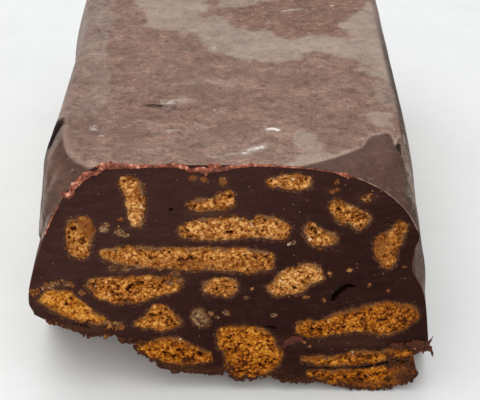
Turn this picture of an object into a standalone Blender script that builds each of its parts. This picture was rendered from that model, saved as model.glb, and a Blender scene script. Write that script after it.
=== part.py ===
"""No-bake biscuit cake: a chocolate loaf turned out of a loaf tin, with its front end cut off square.

The tin's base made the flat top and its rough open side is the underside. The cut shows broken
biscuits, each of them a slab of its own in a pocket of the chocolate.

Sizes are in millimetres, and MM turns them into metres where a mesh is made. Behind the cut,
"back" is the distance along the loaf from it. X is 0 on the loaf's centre line, with +X to the
right of someone who faces the cut, and heights are above the surface that the loaf stands on.
"""

import math

import bmesh
import bpy
from mathutils import Vector

MM = 0.001

# The loaf, as its tin made it
HEIGHT = 75.0
TOP_WIDTH = 97.2
BASE_WIDTH = 117.0
TOP_LENGTH = 186.0
BASE_LENGTH = 194.0
TOP_FILLET = 5.0
END_CORNER_RADIUS = 14.0
WALL_SLOPE = (BASE_WIDTH - TOP_WIDTH) / 2 / HEIGHT
END_LEAN = BASE_LENGTH - TOP_LENGTH

# The front corners, where the lining film bridged the corners of the tin: how far the rounding
# reaches in along the top and down the wall at the cut, how far its control point lies from the
# sharp corner (inwards, down), how far back it lasts, and how fast its two reaches fade
LEFT_CORNER = {
    "side": -1,
    "along": 16.6,
    "down": 39.7,
    "pull": (3.8, 6.0),
    "back": 28.0,
    "fades": (2.0, 7.0),
}
RIGHT_CORNER = {
    "side": 1,
    "along": 38.6,
    "down": 22.0,
    "pull": (5.0, 0.0),
    "back": 40.0,
    "fades": (2.0, 3.0),
}

# Swellings (+) and dents (-) of the walls: side, height, spread, depth, where they start and
# end along the loaf. The last one is the far left side, which stands out past the top's edge.
WALL_MARKS = (
    (-1, 73.0, 5.0, 1.6, 36.0, 0.0),
    (-1, 47.5, 3.0, -2.0, 12.0, 0.0),
    (-1, 34.0, 9.0, 1.6, 15.0, 0.0),
    (1, 62.0, 6.0, -0.7, 20.0, 0.0),
    (1, 44.0, 8.0, -3.7, 4.0, 0.0),
    (1, 40.0, 7.0, 0.8, 30.0, 0.0),
    (-1, 50.0, 24.0, 5.5, 88.0, 130.0),
)
WALL_SETTLES = 0.6  # the share of the wall's way down from which it leads to the underside's end

# The ragged lower edge of the chocolate on the cut, from left to right: (x, height)
CUT_BASE = (
    (-54.7, 27.0),
    (-48.8, 23.3),
    (-44.0, 21.6),
    (-38.6, 19.2),
    (-33.0, 20.0),
    (-30.0, 17.4),
    (-25.0, 16.2),
    (-21.8, 11.4),
    (-19.0, 7.8),
    (-9.7, 6.2),
    (-3.4, 5.6),
    (0.0, 7.6),
    (9.0, 7.6),
    (13.0, 4.3),
    (17.0, 3.3),
    (23.0, 3.0),
    (27.0, 5.2),
    (35.0, 5.0),
    (43.5, 5.2),
    (46.0, 8.2),
    (46.4, 10.4),
    (50.0, 13.4),
    (56.4, 15.4),
)
CUT_BASE_BACK = (42.0, 24.0)  # how far back its left and its right end last
CUT_BASE_FADE = 1.3
LEAST_RUN = 1.5  # sideways run that counts for a step of the edge, at least

# The underside behind that edge: shallow hollows, round a flat that the loaf stands on
HOLLOW_DEPTH = 1.6
HOLLOWS_ACROSS = (31.0, 1.3)  # wavelength, and phase in radians
HOLLOWS_ALONG = (47.0, 0.6)
FLAT_HALF_WIDTH = 30.0
FLAT_BACK = (74.0, 138.0)
FLAT_MARGINS = (8.0, 14.0)  # across and along

# How finely the loaf is divided
STATIONS = (0, 1.5, 4, 8, 13, 19, 26, 34, 44, 58, 74, 88, 102, 116, 130)
STATIONS += (143, 155, 165, 172, 178, 182, 184.6, 186)
CORNER_STEPS = 8
TOP_STEPS = 8
WALL_STEPS = 9

# Biscuits
GAP = 0.3  # between a biscuit and the chocolate round it
CUTTER_OVERSHOOT = 3.0  # how far a pocket's cutter stands out of the cut or the underside
END_SQUARENESS = 6.0
SHARPEST_TURN = 0.6  # cosine that limits how far a sharp point moves when an outline grows
DEPTH_STEPS = ((0.0, 1.0), (0.4, 1.0), (0.75, 0.96), (0.93, 0.84), (1.0, 0.55))  # (share, scale)

# The biscuits that the cut shows. Each is a slab along a chord from one end to the other,
# (x, height) both, with its half-thicknesses at equal steps along it, first on the left of
# the chord and then on its right. The last size is how far it goes back into the loaf.
CUT_BISCUITS = {
    "biscuit_upper_left": (
        (-24.9, 55.8),
        (-26.2, 71.8),
        (1.8, 1.9, 2.8, 2.8, 3.2),
        (2.0, 3.2, 4.3, 4.1, 2.5),
        14.0,
    ),
    "biscuit_left_edge": (
        (-40.4, 45.4),
        (-40.2, 59.2),
        (2.8, 3.9, 3.8, 3.7, 3.1),
        (2.6, 3.2, 3.7, 4.3, 3.1),
        13.0,
    ),
    "biscuit_long_lower": (
        (-35.4, 46.8),
        (12.4, 45.2),
        (2.6, 3.4, 3.4, 3.6, 3.8, 4.1, 3.2),
        (1.9, 3.8, 4.0, 4.0, 3.9, 4.6, 3.6),
        27.0,
    ),
    "biscuit_long_upper": (
        (-14.1, 54.6),
        (16.2, 54.8),
        (1.8, 4.4, 4.4, 4.2, 5.4, 2.6),
        (2.4, 2.9, 3.3, 2.5, 3.0, 2.7),
        21.0,
    ),
    "biscuit_above_bar": (
        (-11.3, 62.4),
        (1.7, 63.6),
        (1.0, 2.3, 1.8, 3.8, 4.3),
        (1.0, 1.9, 2.0, 2.0, 1.7),
        12.0,
    ),
    "biscuit_top": (
        (10.0, 69.6),
        (22.3, 69.9),
        (1.1, 2.3, 2.6, 2.9, 1.7),
        (1.0, 2.1, 2.5, 2.7, 1.4),
        12.0,
    ),
    "biscuit_slanting": (
        (26.6, 64.2),
        (36.8, 56.6),
        (1.5, 2.0, 2.4, 3.1, 3.7),
        (1.6, 3.6, 4.0, 3.3, 2.4),
        15.0,
    ),
    "biscuit_beside_bar": (
        (19.9, 55.6),
        (28.9, 51.2),
        (2.8, 2.8, 1.8, 2.4, 1.8),
        (1.4, 3.2, 4.3, 2.9, 1.4),
        11.0,
    ),
    "biscuit_right_edge": (
        (42.4, 42.3),
        (47.6, 57.6),
        (2.0, 3.6, 6.4, 5.4, 2.5),
        (1.4, 1.8, 1.1, 1.2, 0.9),
        14.0,
    ),
    "biscuit_leaning": (
        (10.6, 35.0),
        (25.3, 42.2),
        (1.9, 4.1, 4.7, 4.6, 2.8),
        (2.0, 3.7, 4.6, 2.9, 3.0),
        16.0,
    ),
    "biscuit_centre": (
        (-7.8, 36.2),
        (2.4, 37.0),
        (1.5, 2.9, 3.0, 3.1, 2.2),
        (1.6, 2.9, 3.3, 3.9, 2.2),
        11.0,
    ),
    "biscuit_lens": (
        (-39.7, 36.8),
        (-13.3, 37.6),
        (2.0, 2.9, 3.3, 3.4, 3.3, 2.2),
        (2.0, 6.2, 7.5, 6.3, 4.0, 2.4),
        20.0,
    ),
    "biscuit_base_left": (
        (-52.6, 32.6),
        (-35.0, 24.0),
        (3.2, 5.8, 4.8, 2.8, 2.0),
        (1.7, 3.0, 3.2, 3.0, 1.8),
        18.0,
    ),
    "biscuit_wedge": (
        (-27.2, 23.4),
        (-13.4, 24.4),
        (0.9, 2.8, 7.0, 5.8, 1.5),
        (0.8, 2.0, 2.9, 2.5, 1.4),
        13.0,
    ),
    "biscuit_dull_chip": (
        (-7.6, 22.4),
        (-8.9, 29.4),
        (1.6, 2.0, 2.8, 2.3, 1.4),
        (1.7, 2.4, 2.1, 1.7, 1.6),
        8.0,
    ),
    "biscuit_base_lens": (
        (-26.8, 16.0),
        (-5.1, 11.9),
        (1.2, 3.6, 5.4, 3.1, 2.1),
        (1.6, 4.2, 4.6, 3.9, 1.9),
        18.0,
    ),
    "biscuit_base_centre": (
        (6.2, 4.4),
        (3.6, 23.8),
        (5.0, 7.2, 6.9, 9.0, 7.0),
        (4.8, 9.6, 9.4, 8.0, 4.6),
        19.0,
    ),
    "biscuit_lower_right": (
        (18.4, 22.2),
        (52.6, 28.2),
        (2.4, 2.6, 3.9, 4.0, 5.0, 5.5, 4.3, 2.7),
        (1.9, 4.6, 4.2, 3.8, 4.4, 7.8, 5.8, 2.7),
        24.0,
    ),
    "biscuit_base_right_upper": (
        (20.0, 11.2),
        (52.4, 13.5),
        (1.4, 1.3, 1.3, 2.5, 1.8, 2.6, 1.3),
        (1.3, 2.6, 3.2, 2.9, 2.6, 1.7, 0.9),
        21.0,
    ),
    "biscuit_base_right_lower": (
        (21.6, 6.4),
        (53.2, 6.4),
        (1.3, 1.1, 1.0, 1.9, 2.3, 3.6, 2.9),
        (1.7, 3.4, 5.0, 5.9, 5.6, 5.0, 2.8),
        20.0,
    ),
}

# Biscuits that lie flat in the underside, which nobody sees while the cake stands: the chord's
# ends as (x, back), the half-widths on its left and right, and the heights they fill
UNDERSIDE_BISCUITS = {
    "underside_biscuit_1": (
        (-40.0, 66.0),
        (-12.0, 58.0),
        (4.0, 9.0, 12.0, 9.0, 4.0),
        (3.0, 6.0, 5.0, 6.0, 3.0),
    ),
    "underside_biscuit_2": (
        (34.0, 56.0),
        (46.0, 80.0),
        (4.0, 8.0, 9.0, 7.0, 3.0),
        (3.0, 5.0, 6.0, 5.0, 4.0),
    ),
    "underside_biscuit_3": (
        (-48.0, 112.0),
        (-36.0, 134.0),
        (3.0, 5.0, 4.0, 5.0, 3.0),
        (4.0, 8.0, 10.0, 8.0, 4.0),
    ),
    "underside_biscuit_4": (
        (6.0, 150.0),
        (40.0, 158.0),
        (4.0, 8.0, 11.0, 9.0, 3.0),
        (3.0, 6.0, 7.0, 5.0, 3.0),
    ),
    "underside_biscuit_5": (
        (-38.0, 166.0),
        (-12.0, 158.0),
        (3.0, 6.0, 7.0, 6.0, 3.0),
        (3.0, 6.0, 5.0, 6.0, 3.0),
    ),
}
UNDERSIDE_FACE = 0.5
UNDERSIDE_THICKNESS = 8.0

# Outline points on each side of a biscuit's chord
FEWEST_SIDE_STEPS = 8
SIDE_STEP = 3.4


def smooth(value, start, end):
    """0 before start, 1 after end, with an easy curve between."""
    share = min(max((value - start) / (end - start), 0.0), 1.0)
    return share * share * (3 - 2 * share)


def fade(back, reach, power):
    """1 at the cut, falling to 0 at reach behind it."""
    return max(0.0, 1.0 - back / reach) ** power


def mix(first, second, share):
    return tuple(a + (b - a) * share for a, b in zip(first, second))


def steps(first, last, count):
    """The points after first up to last, in equal steps."""
    return [mix(first, last, (i + 1) / count) for i in range(count)]


def along_list(values, share):
    """The value at a share of the way along an evenly spaced list."""
    place = share * (len(values) - 1)
    low = min(int(place), len(values) - 2)
    return values[low] + (values[low + 1] - values[low]) * (place - low)


# ---------------------------------------------------------------- the chocolate loaf


def mark_strength(back, start, end):
    """A mark that ends at 0 starts at the cut and fades by start; any other swells from start to end."""
    return fade(back, start, 1.0) if end == 0.0 else smooth(back, start, end)


def half_width(side, height, back):
    """How far the wall is from the centre line, before the far end's corner takes anything off."""
    width = TOP_WIDTH / 2 + WALL_SLOPE * (HEIGHT - height)
    for mark_side, middle, spread, depth, start, end in WALL_MARKS:
        if mark_side == side:
            swell = math.exp(-(((height - middle) / spread) ** 2))
            width += depth * swell * mark_strength(back, start, end)
    return width


def end_inset(back, radius):
    """How far a rounding of this radius has pulled the surface in, this near the far end."""
    left = TOP_LENGTH - back
    if left >= radius:
        return 0.0
    return radius - math.sqrt(radius**2 - (radius - left) ** 2)


def corner_curve(corner, back, top, inset):
    """The rounding between top and wall, from the top's end to the wall's."""
    side = corner["side"]
    across, below = (fade(back, corner["back"], power) for power in corner["fades"])
    along = TOP_FILLET + (corner["along"] - TOP_FILLET) * across
    down = TOP_FILLET + (corner["down"] - TOP_FILLET) * below
    inwards, lower = (value * below for value in corner["pull"])
    sharp = half_width(side, top, back) - inset
    start = (side * (sharp - along), top)
    control = (side * (sharp - inwards), top - lower)
    end = (side * (half_width(side, top - down, back) - inset), top - down)
    curve = []
    for i in range(CORNER_STEPS + 1):
        share = i / CORNER_STEPS
        curve.append(mix(mix(start, control, share), mix(control, end, share), share))
    return curve


def hollow(x, back):
    """Height of the underside above the surface that the loaf stands on."""
    waves = ((x, HOLLOWS_ACROSS), (back, HOLLOWS_ALONG))
    across, along = (math.sin(at / length * math.tau + phase) for at, (length, phase) in waves)
    first, last = FLAT_BACK
    off_flat = max(
        smooth(abs(x), FLAT_HALF_WIDTH, FLAT_HALF_WIDTH + FLAT_MARGINS[0]),
        1.0 - smooth(back, first - FLAT_MARGINS[1], first),
        smooth(back, last, last + FLAT_MARGINS[1]),
    )
    return HOLLOW_DEPTH * max(0.0, across * along) * off_flat


def base_shares():
    """Each lower-edge point's share of the way from left to right, by the path's sideways run."""
    runs = [0.0]
    for (x0, _), (x1, _) in zip(CUT_BASE, CUT_BASE[1:]):
        runs.append(runs[-1] + max(abs(x1 - x0), LEAST_RUN))
    return [run / runs[-1] for run in runs]


def base_line(back, inset):
    """The underside's line across the loaf, from left to right."""
    half = BASE_WIDTH / 2 - inset
    line = []
    for share, cut_point in zip(base_shares(), CUT_BASE):
        x = -half + 2 * half * share
        reach = CUT_BASE_BACK[0] + (CUT_BASE_BACK[1] - CUT_BASE_BACK[0]) * share
        edge = 0.0 if share in (0.0, 1.0) else 1.0
        settled = (x, edge * hollow(x, back))
        line.append(mix(settled, cut_point, fade(back, reach, CUT_BASE_FADE)))
    return line


def wall_line(side, first, last, back, inset):
    """The wall between two of its points, without its first and with its last."""
    missed = last[0] - side * (half_width(side, last[1], back) - inset)
    line = []
    for i, (_, height) in enumerate(steps(first, last, WALL_STEPS)):
        settled = smooth((i + 1) / WALL_STEPS, WALL_SETTLES, 1.0)
        line.append((side * (half_width(side, height, back) - inset) + missed * settled, height))
    return line


def loaf_section(back):
    """The loaf's outline at a station, as (x, height) points, clockwise from the lower left."""
    top = HEIGHT - end_inset(back, TOP_FILLET)
    inset = end_inset(back, END_CORNER_RADIUS)
    base = base_line(back, inset)
    left = corner_curve(LEFT_CORNER, back, top, inset)
    right = corner_curve(RIGHT_CORNER, back, top, inset)
    left_wall = wall_line(-1, left[-1], base[0], back, inset)
    right_wall = wall_line(1, right[-1], base[-1], back, inset)
    outline = left_wall[::-1] + left[::-1]
    outline += steps(left[0], right[0], TOP_STEPS)[:-1] + right + right_wall
    return outline + base[-2:0:-1]


def loaf_point(x, height, back):
    """A point of the loaf: the far end leans out from its top edge to its base."""
    lean = END_LEAN * (1 - height / HEIGHT) * (back / TOP_LENGTH) ** 3
    return Vector((x, back + lean - BASE_LENGTH / 2, height)) * MM


# ---------------------------------------------------------------- biscuits


def slab_outline(start, end, lefts, rights):
    """A broken slab's outline: its two sides along the chord, with blunt ends, anticlockwise."""
    start, end = Vector(start), Vector(end)
    chord = end - start
    to_left = Vector((-chord.y, chord.x)).normalized()
    count = max(FEWEST_SIDE_STEPS, round(chord.length / SIDE_STEP))

    def side_point(i, values, sign):
        share = 0.5 - 0.5 * math.cos(math.pi * i / count)
        blunt = (1 - abs(2 * share - 1) ** END_SQUARENESS) ** (1 / END_SQUARENESS)
        return start + chord * share + to_left * (sign * blunt * along_list(values, share))

    right_side = [side_point(i, rights, -1) for i in range(count + 1)]
    left_side = [side_point(i, lefts, 1) for i in range(count - 1, 0, -1)]
    return right_side + left_side


def grown(outline, distance):
    """The outline moved out by a distance. It runs anticlockwise."""
    moved = []
    for i, point in enumerate(outline):
        before = (point - outline[i - 1]).normalized()
        after = (outline[(i + 1) % len(outline)] - point).normalized()
        tangent = (before + after).normalized()
        widen = 1 / max(tangent.dot(after), SHARPEST_TURN)
        moved.append(point + Vector((tangent.y, -tangent.x)) * distance * widen)
    return moved


def scaled(outline, scale):
    middle = sum(outline, Vector((0, 0))) / len(outline)
    return [middle + (point - middle) * scale for point in outline]


def cut_biscuit_rings(spec, grow, overshoot):
    """Rings of a biscuit that the cut shows, from the cut backwards."""
    start, end, lefts, rights, depth = spec
    outline = slab_outline(start, end, lefts, rights)
    rings = []
    for share, scale in DEPTH_STEPS:
        back = -overshoot if share == 0.0 else share * (depth + grow)
        flat = grown(scaled(outline, scale), grow)
        rings.append([Vector((p.x, back - BASE_LENGTH / 2, p.y)) * MM for p in flat])
    return rings


def underside_biscuit_rings(spec, grow, overshoot):
    """Rings of a biscuit in the underside, from its top face down."""
    start, end, lefts, rights = spec
    flat = grown(slab_outline(start, end, lefts, rights), grow)
    low = UNDERSIDE_FACE if overshoot == 0.0 else -overshoot
    high = UNDERSIDE_FACE + UNDERSIDE_THICKNESS + grow
    return [[Vector((p.x, p.y - BASE_LENGTH / 2, z)) * MM for p in flat] for z in (high, low)]


# ---------------------------------------------------------------- Blender objects


def loft(name, rings):
    """A closed mesh through rings of equal length, with flat caps at both ends."""
    mesh = bpy.data.meshes.new(name)
    shape = bmesh.new()
    made = [[shape.verts.new(point) for point in ring] for ring in rings]
    for near, far in zip(made, made[1:]):
        for i in range(len(near)):
            j = (i + 1) % len(near)
            shape.faces.new((near[i], near[j], far[j], far[i]))
    caps = [shape.faces.new(made[0]), shape.faces.new(made[-1])]
    bmesh.ops.triangulate(shape, faces=caps)
    bmesh.ops.recalc_face_normals(shape, faces=shape.faces[:])
    shape.to_mesh(mesh)
    shape.free()
    mesh.shade_smooth()
    mesh.set_sharp_from_angle(angle=math.radians(35))
    return mesh


def principled(name, colour, roughness):
    material = bpy.data.materials.new(name)
    material.use_nodes = True
    shader = material.node_tree.nodes["Principled BSDF"]
    shader.inputs["Base Color"].default_value = (*colour, 1)
    shader.inputs["Roughness"].default_value = roughness
    return material


def place(name, mesh, collection, parent=None):
    placed = bpy.data.objects.new(name, mesh)
    placed.parent = parent
    collection.objects.link(placed)
    return placed


def place_cutter(name, mesh, collection):
    cutter = place(name, mesh, collection)
    cutter.display_type = "WIRE"
    cutter.hide_render = True


def new_collection(name):
    collection = bpy.data.collections.new(name)
    bpy.context.scene.collection.children.link(collection)
    return collection


def clear_scene():
    for old in list(bpy.data.objects):
        bpy.data.objects.remove(old)


def build():
    clear_scene()
    cake = new_collection("biscuit_cake")
    cutters = new_collection("pocket_cutters")
    cutters.hide_render = True
    chocolate = principled("dark_chocolate", (0.05, 0.022, 0.018), 0.5)
    crumb = principled("biscuit_crumb", (0.46, 0.19, 0.045), 0.9)
    whole = place("whole_cake", None, cake)

    rings = [[loaf_point(x, height, back) for x, height in loaf_section(back)] for back in STATIONS]
    loaf = place("chocolate_loaf", loft("chocolate_loaf", rings), cake, whole)
    loaf.data.materials.append(chocolate)

    for specs, make_rings in (
        (CUT_BISCUITS, cut_biscuit_rings),
        (UNDERSIDE_BISCUITS, underside_biscuit_rings),
    ):
        for name, spec in specs.items():
            biscuit = place(name, loft(name, make_rings(spec, 0.0, 0.0)), cake, whole)
            biscuit.data.materials.append(crumb)
            pocket = make_rings(spec, GAP, CUTTER_OVERSHOOT)
            place_cutter(f"pocket_{name}", loft(f"pocket_{name}", pocket), cutters)

    pockets = loaf.modifiers.new("pockets", "BOOLEAN")
    pockets.operation = "DIFFERENCE"
    pockets.operand_type = "COLLECTION"
    pockets.collection = cutters
    pockets.solver = "EXACT"


build()
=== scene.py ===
"""Looks of the no-bake biscuit cake: the chocolate's skin and cut face, the biscuits in the cut, and
what is too small for a solid, such as crumbs, the lip that the knife dragged up and the film's creases.

Lengths are in millimetres, and MM turns them into metres where a mesh is made. A place is (x, back,
height): x across the loaf, back the distance behind the cut, height above the floor.
"""

import math

import bmesh
import bpy
import numpy as np
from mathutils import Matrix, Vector, geometry, noise
from mathutils.kdtree import KDTree


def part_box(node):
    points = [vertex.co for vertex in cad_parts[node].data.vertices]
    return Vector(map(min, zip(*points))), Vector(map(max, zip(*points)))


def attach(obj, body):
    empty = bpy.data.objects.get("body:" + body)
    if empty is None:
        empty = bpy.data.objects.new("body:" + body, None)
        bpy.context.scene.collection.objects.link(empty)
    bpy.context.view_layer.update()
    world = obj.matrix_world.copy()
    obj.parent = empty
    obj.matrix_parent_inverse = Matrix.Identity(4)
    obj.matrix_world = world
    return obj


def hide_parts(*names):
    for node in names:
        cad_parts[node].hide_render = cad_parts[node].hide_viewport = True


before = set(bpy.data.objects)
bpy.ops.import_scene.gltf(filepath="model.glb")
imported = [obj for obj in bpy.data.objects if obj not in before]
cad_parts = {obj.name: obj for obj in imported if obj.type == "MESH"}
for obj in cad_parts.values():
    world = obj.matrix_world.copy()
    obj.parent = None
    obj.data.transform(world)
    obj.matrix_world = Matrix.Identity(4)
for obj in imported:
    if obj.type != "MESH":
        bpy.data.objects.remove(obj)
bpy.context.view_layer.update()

MM = 0.001
CUT_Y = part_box("chocolate_loaf")[0].y / MM
IN_CUT = (0, 2)  # the coordinates that lie in the plane of the cut
IN_BASE = (0, 1)
TINY = 1e-12

# ---------------------------------------------------------------- the loaf's form, as in part.py

HEIGHT = 75.0
TOP_WIDTH = 97.2
BASE_WIDTH = 117.0
TOP_LENGTH = 186.0
BASE_LENGTH = 194.0
TOP_FILLET = 5.0
END_CORNER_RADIUS = 14.0
WALL_SLOPE = (BASE_WIDTH - TOP_WIDTH) / 2 / HEIGHT
END_LEAN = BASE_LENGTH - TOP_LENGTH
# Where the film bridged the tin's front corners
LEFT_CORNER = {"side": -1, "along": 16.6, "down": 39.7, "pull": (3.8, 6.0), "back": 28.0, "fades": (2.0, 7.0)}
RIGHT_CORNER = {"side": 1, "along": 38.6, "down": 22.0, "pull": (5.0, 0.0), "back": 40.0, "fades": (2.0, 3.0)}
# Swells and hollows of the walls: side, height, spread, how far out, and the distance back where they
# have faded, or the two between which they grow
WALL_MARKS = (
    (-1, 73.0, 5.0, 1.6, 36.0, 0.0), (-1, 47.5, 3.0, -2.0, 12.0, 0.0), (-1, 34.0, 9.0, 1.6, 15.0, 0.0),
    (1, 62.0, 6.0, -0.7, 20.0, 0.0), (1, 44.0, 8.0, -3.7, 4.0, 0.0), (1, 40.0, 7.0, 0.8, 30.0, 0.0),
    (-1, 50.0, 24.0, 5.5, 88.0, 130.0),
)
# Two swells and a hollow in the cut's right edge, too small for the solid
EDGE_MARKS = (
    (1, 52.8, 1.7, 0.6, 2.4, 0.0), (1, 41.0, 1.7, -0.6, 4.0, 0.0), (1, 47.0, 1.8, 0.35, 4.0, 0.0),
)
WALL_SETTLES = 0.6
# The cut's lower edge, as (x, height)
CUT_BASE = (
    (-54.7, 27.0), (-48.8, 23.3), (-44.0, 21.6), (-38.6, 19.2), (-33.0, 20.0), (-30.0, 17.4), (-25.0, 16.2),
    (-21.8, 11.4), (-19.0, 7.8), (-9.7, 6.2), (-3.4, 5.6), (0.0, 7.6), (9.0, 7.6), (13.0, 4.3), (17.0, 3.3),
    (23.0, 3.0), (27.0, 5.2), (35.0, 5.0), (43.5, 5.2), (46.0, 8.2), (46.4, 10.4), (50.0, 13.4),
    (56.4, 15.4),
)
CUT_BASE_BACK = (42.0, 24.0)
CUT_BASE_FADE = 1.3
LEAST_RUN = 1.5
HOLLOW_DEPTH = 1.6
HOLLOWS_ACROSS = (31.0, 1.3)
HOLLOWS_ALONG = (47.0, 0.6)
FLAT_HALF_WIDTH = 30.0
FLAT_BACK = (74.0, 138.0)
FLAT_MARGINS = (8.0, 14.0)
GAP = 0.3
DEPTH_STEPS = ((0.4, 1.0), (0.75, 0.96), (0.93, 0.84), (1.0, 0.55))
DENSE = 60  # points in each smooth run of a section, before it is divided evenly


def smooth(value, start, end):
    share = np.clip((value - start) / (end - start), 0.0, 1.0)
    return share * share * (3 - 2 * share)


def fade(back, reach, power):
    return max(0.0, 1.0 - back / reach) ** power


def half_width(side, height, back):
    width = TOP_WIDTH / 2 + WALL_SLOPE * (HEIGHT - height)
    for mark_side, middle, spread, depth, start, end in WALL_MARKS + EDGE_MARKS:
        if mark_side == side:
            strength = fade(back, start, 1.0) if end == 0.0 else smooth(back, start, end)
            width = width + depth * strength * np.exp(-(((height - middle) / spread) ** 2))
    return width


def end_inset(back, radius):
    left = TOP_LENGTH - back
    if left >= radius:
        return 0.0
    return radius - math.sqrt(max(radius**2 - (radius - left) ** 2, 0.0))


def corner_run(corner, back, top, inset):
    side = corner["side"]
    across, below = (fade(back, corner["back"], power) for power in corner["fades"])
    along = TOP_FILLET + (corner["along"] - TOP_FILLET) * across
    down = TOP_FILLET + (corner["down"] - TOP_FILLET) * below
    inwards, lower = (value * below for value in corner["pull"])
    sharp = half_width(side, top, back) - inset
    start = np.array((side * (sharp - along), top))
    control = np.array((side * (sharp - inwards), top - lower))
    end = np.array((side * (half_width(side, top - down, back) - inset), top - down))
    share = np.linspace(0, 1, DENSE)[:, None]
    return (1 - share) ** 2 * start + 2 * share * (1 - share) * control + share**2 * end


def wall_run(side, first, last, back, inset):
    missed = last[0] - side * (half_width(side, last[1], back) - inset)
    share = np.linspace(0, 1, DENSE)
    height = first[1] + (last[1] - first[1]) * share
    x = side * (half_width(side, height, back) - inset) + missed * smooth(share, WALL_SETTLES, 1.0)
    return np.stack((x, height), 1)


def hollow(x, back):
    across = np.sin(x / HOLLOWS_ACROSS[0] * math.tau + HOLLOWS_ACROSS[1])
    along = math.sin(back / HOLLOWS_ALONG[0] * math.tau + HOLLOWS_ALONG[1])
    first, last = FLAT_BACK
    off_flat = np.maximum(
        smooth(np.abs(x), FLAT_HALF_WIDTH, FLAT_HALF_WIDTH + FLAT_MARGINS[0]),
        max(1.0 - smooth(back, first - FLAT_MARGINS[1], first), smooth(back, last, last + FLAT_MARGINS[1])),
    )
    return HOLLOW_DEPTH * np.maximum(0.0, across * along) * off_flat


def base_run(back, inset):
    """The underside's line across the loaf, from left to right."""
    cut = np.array(CUT_BASE)
    shares = np.concatenate(((0.0,), np.cumsum(np.maximum(np.abs(np.diff(cut[:, 0])), LEAST_RUN))))
    shares /= shares[-1]
    half = BASE_WIDTH / 2 - inset
    x = -half + 2 * half * shares
    settled = np.stack((x, hollow(x, back)), 1)
    settled[[0, -1], 1] = 0.0
    reach = CUT_BASE_BACK[0] + (CUT_BASE_BACK[1] - CUT_BASE_BACK[0]) * shares
    still = np.maximum(0.0, 1.0 - back / reach)[:, None] ** CUT_BASE_FADE
    return flow(settled + (cut - settled) * still)


def loaf_runs(back):
    """The loaf's outline at a station in six runs, clockwise from the lower left."""
    top = HEIGHT - end_inset(back, TOP_FILLET)
    inset = end_inset(back, END_CORNER_RADIUS)
    base = base_run(back, inset)
    left = corner_run(LEFT_CORNER, back, top, inset)
    right = corner_run(RIGHT_CORNER, back, top, inset)
    left_wall = wall_run(-1, left[-1], base[0], back, inset)
    right_wall = wall_run(1, right[-1], base[-1], back, inset)
    return (left_wall[::-1], left[::-1], np.stack((left[0], right[0])), right, right_wall, base[::-1])


# ---------------------------------------------------------------- lines and noise


def flow(points, closed=False, fine=8):
    """A smooth line through points."""
    points = np.asarray(points, float)
    before, after = (points[-1:], points[:2]) if closed else (points[:1], points[-1:])
    padded = np.concatenate((before, points, after))
    a, b, c, d = (padded[i : len(padded) - 3 + i, None] for i in range(4))
    t = np.linspace(0, 1, fine, endpoint=False)[None, :, None]
    line = b + 0.5 * t * (c - a + t * (2 * a - 5 * b + 4 * c - d + t * (3 * (b - c) + d - a)))
    line = line.reshape(-1, points.shape[1])
    return line if closed else np.concatenate((line, points[-1:]))


def even(line, count, closed=False):
    """The line divided into count equal steps. A closed line doesn't repeat its first point."""
    if closed:
        line = np.concatenate((line, line[:1]))
    run = np.concatenate(((0.0,), np.cumsum(np.linalg.norm(np.diff(line, axis=0), axis=1))))
    at = np.linspace(0, run[-1], count + 1)
    if closed:
        at = at[:-1]
    return np.stack([np.interp(at, run, line[:, k]) for k in range(line.shape[1])], 1)


def length_of(line):
    return float(np.linalg.norm(np.diff(line, axis=0), axis=1).sum())


def units(vectors):
    return vectors / np.maximum(np.linalg.norm(vectors, axis=1), 1e-9)[:, None]


def outward(outline):
    """Unit normals of a closed outline, away from its inside."""
    following = np.roll(outline, -1, 0)
    tangent = following - np.roll(outline, 1, 0)
    normal = units(np.stack((tangent[:, 1], -tangent[:, 0]), 1))
    area = (outline[:, 0] * following[:, 1] - following[:, 0] * outline[:, 1]).sum()
    return normal if area > 0 else -normal


def noise_at(places, size, seed):
    """Smooth noise, about -1 to 1, with features of a size, at places of two or three coordinates."""
    places = np.asarray(places, float)
    if places.shape[1] == 2:
        places = np.concatenate((places, np.zeros((len(places), 1))), 1)
    offset = np.array((seed * 17.31, seed * 5.17, seed * 31.73))
    return np.array([noise.noise(place) for place in (places / size + offset).tolist()])


def pits_at(places, size, seed):
    """1 in the middle of round pits of a size, 0 between them."""
    offset = np.array((seed * 7.3, seed * 3.9, 0.0))
    flat = np.concatenate((places, np.zeros((len(places), 1))), 1) / size + offset
    nearest = np.array([noise.voronoi(place)[0][0] for place in flat.tolist()])
    return 1.0 - smooth(nearest, 0.12, 0.42)


def inside(points, outline, margin=4.0):
    """How far each point is inside a closed outline. Outside it is negative, down to -margin."""
    result = np.full(len(points), -margin)
    near = ((points > outline.min(0) - margin) & (points < outline.max(0) + margin)).all(1)
    start, edge = outline, np.roll(outline, -1, 0) - outline
    run = np.maximum((edge**2).sum(1), TINY)
    for chunk in np.array_split(np.flatnonzero(near), max(1, near.sum() * len(outline) // 2_000_000)):
        rel = points[chunk, None] - start[None]
        share = np.clip((rel * edge).sum(2) / run, 0, 1)
        away = np.linalg.norm(rel - share[..., None] * edge, axis=2).min(1)
        x, y = points[chunk, 0][:, None], points[chunk, 1][:, None]
        spans = (start[:, 1] > y) != (start[:, 1] + edge[:, 1] > y)
        slope = edge[:, 0] / np.where(np.abs(edge[:, 1]) < TINY, TINY, edge[:, 1])
        crossings = spans & (x < start[:, 0] + (y - start[:, 1]) * slope)
        within = crossings.sum(1) % 2 == 1
        result[chunk] = np.maximum(np.where(within, away, -away), -margin)
    return result


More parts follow.
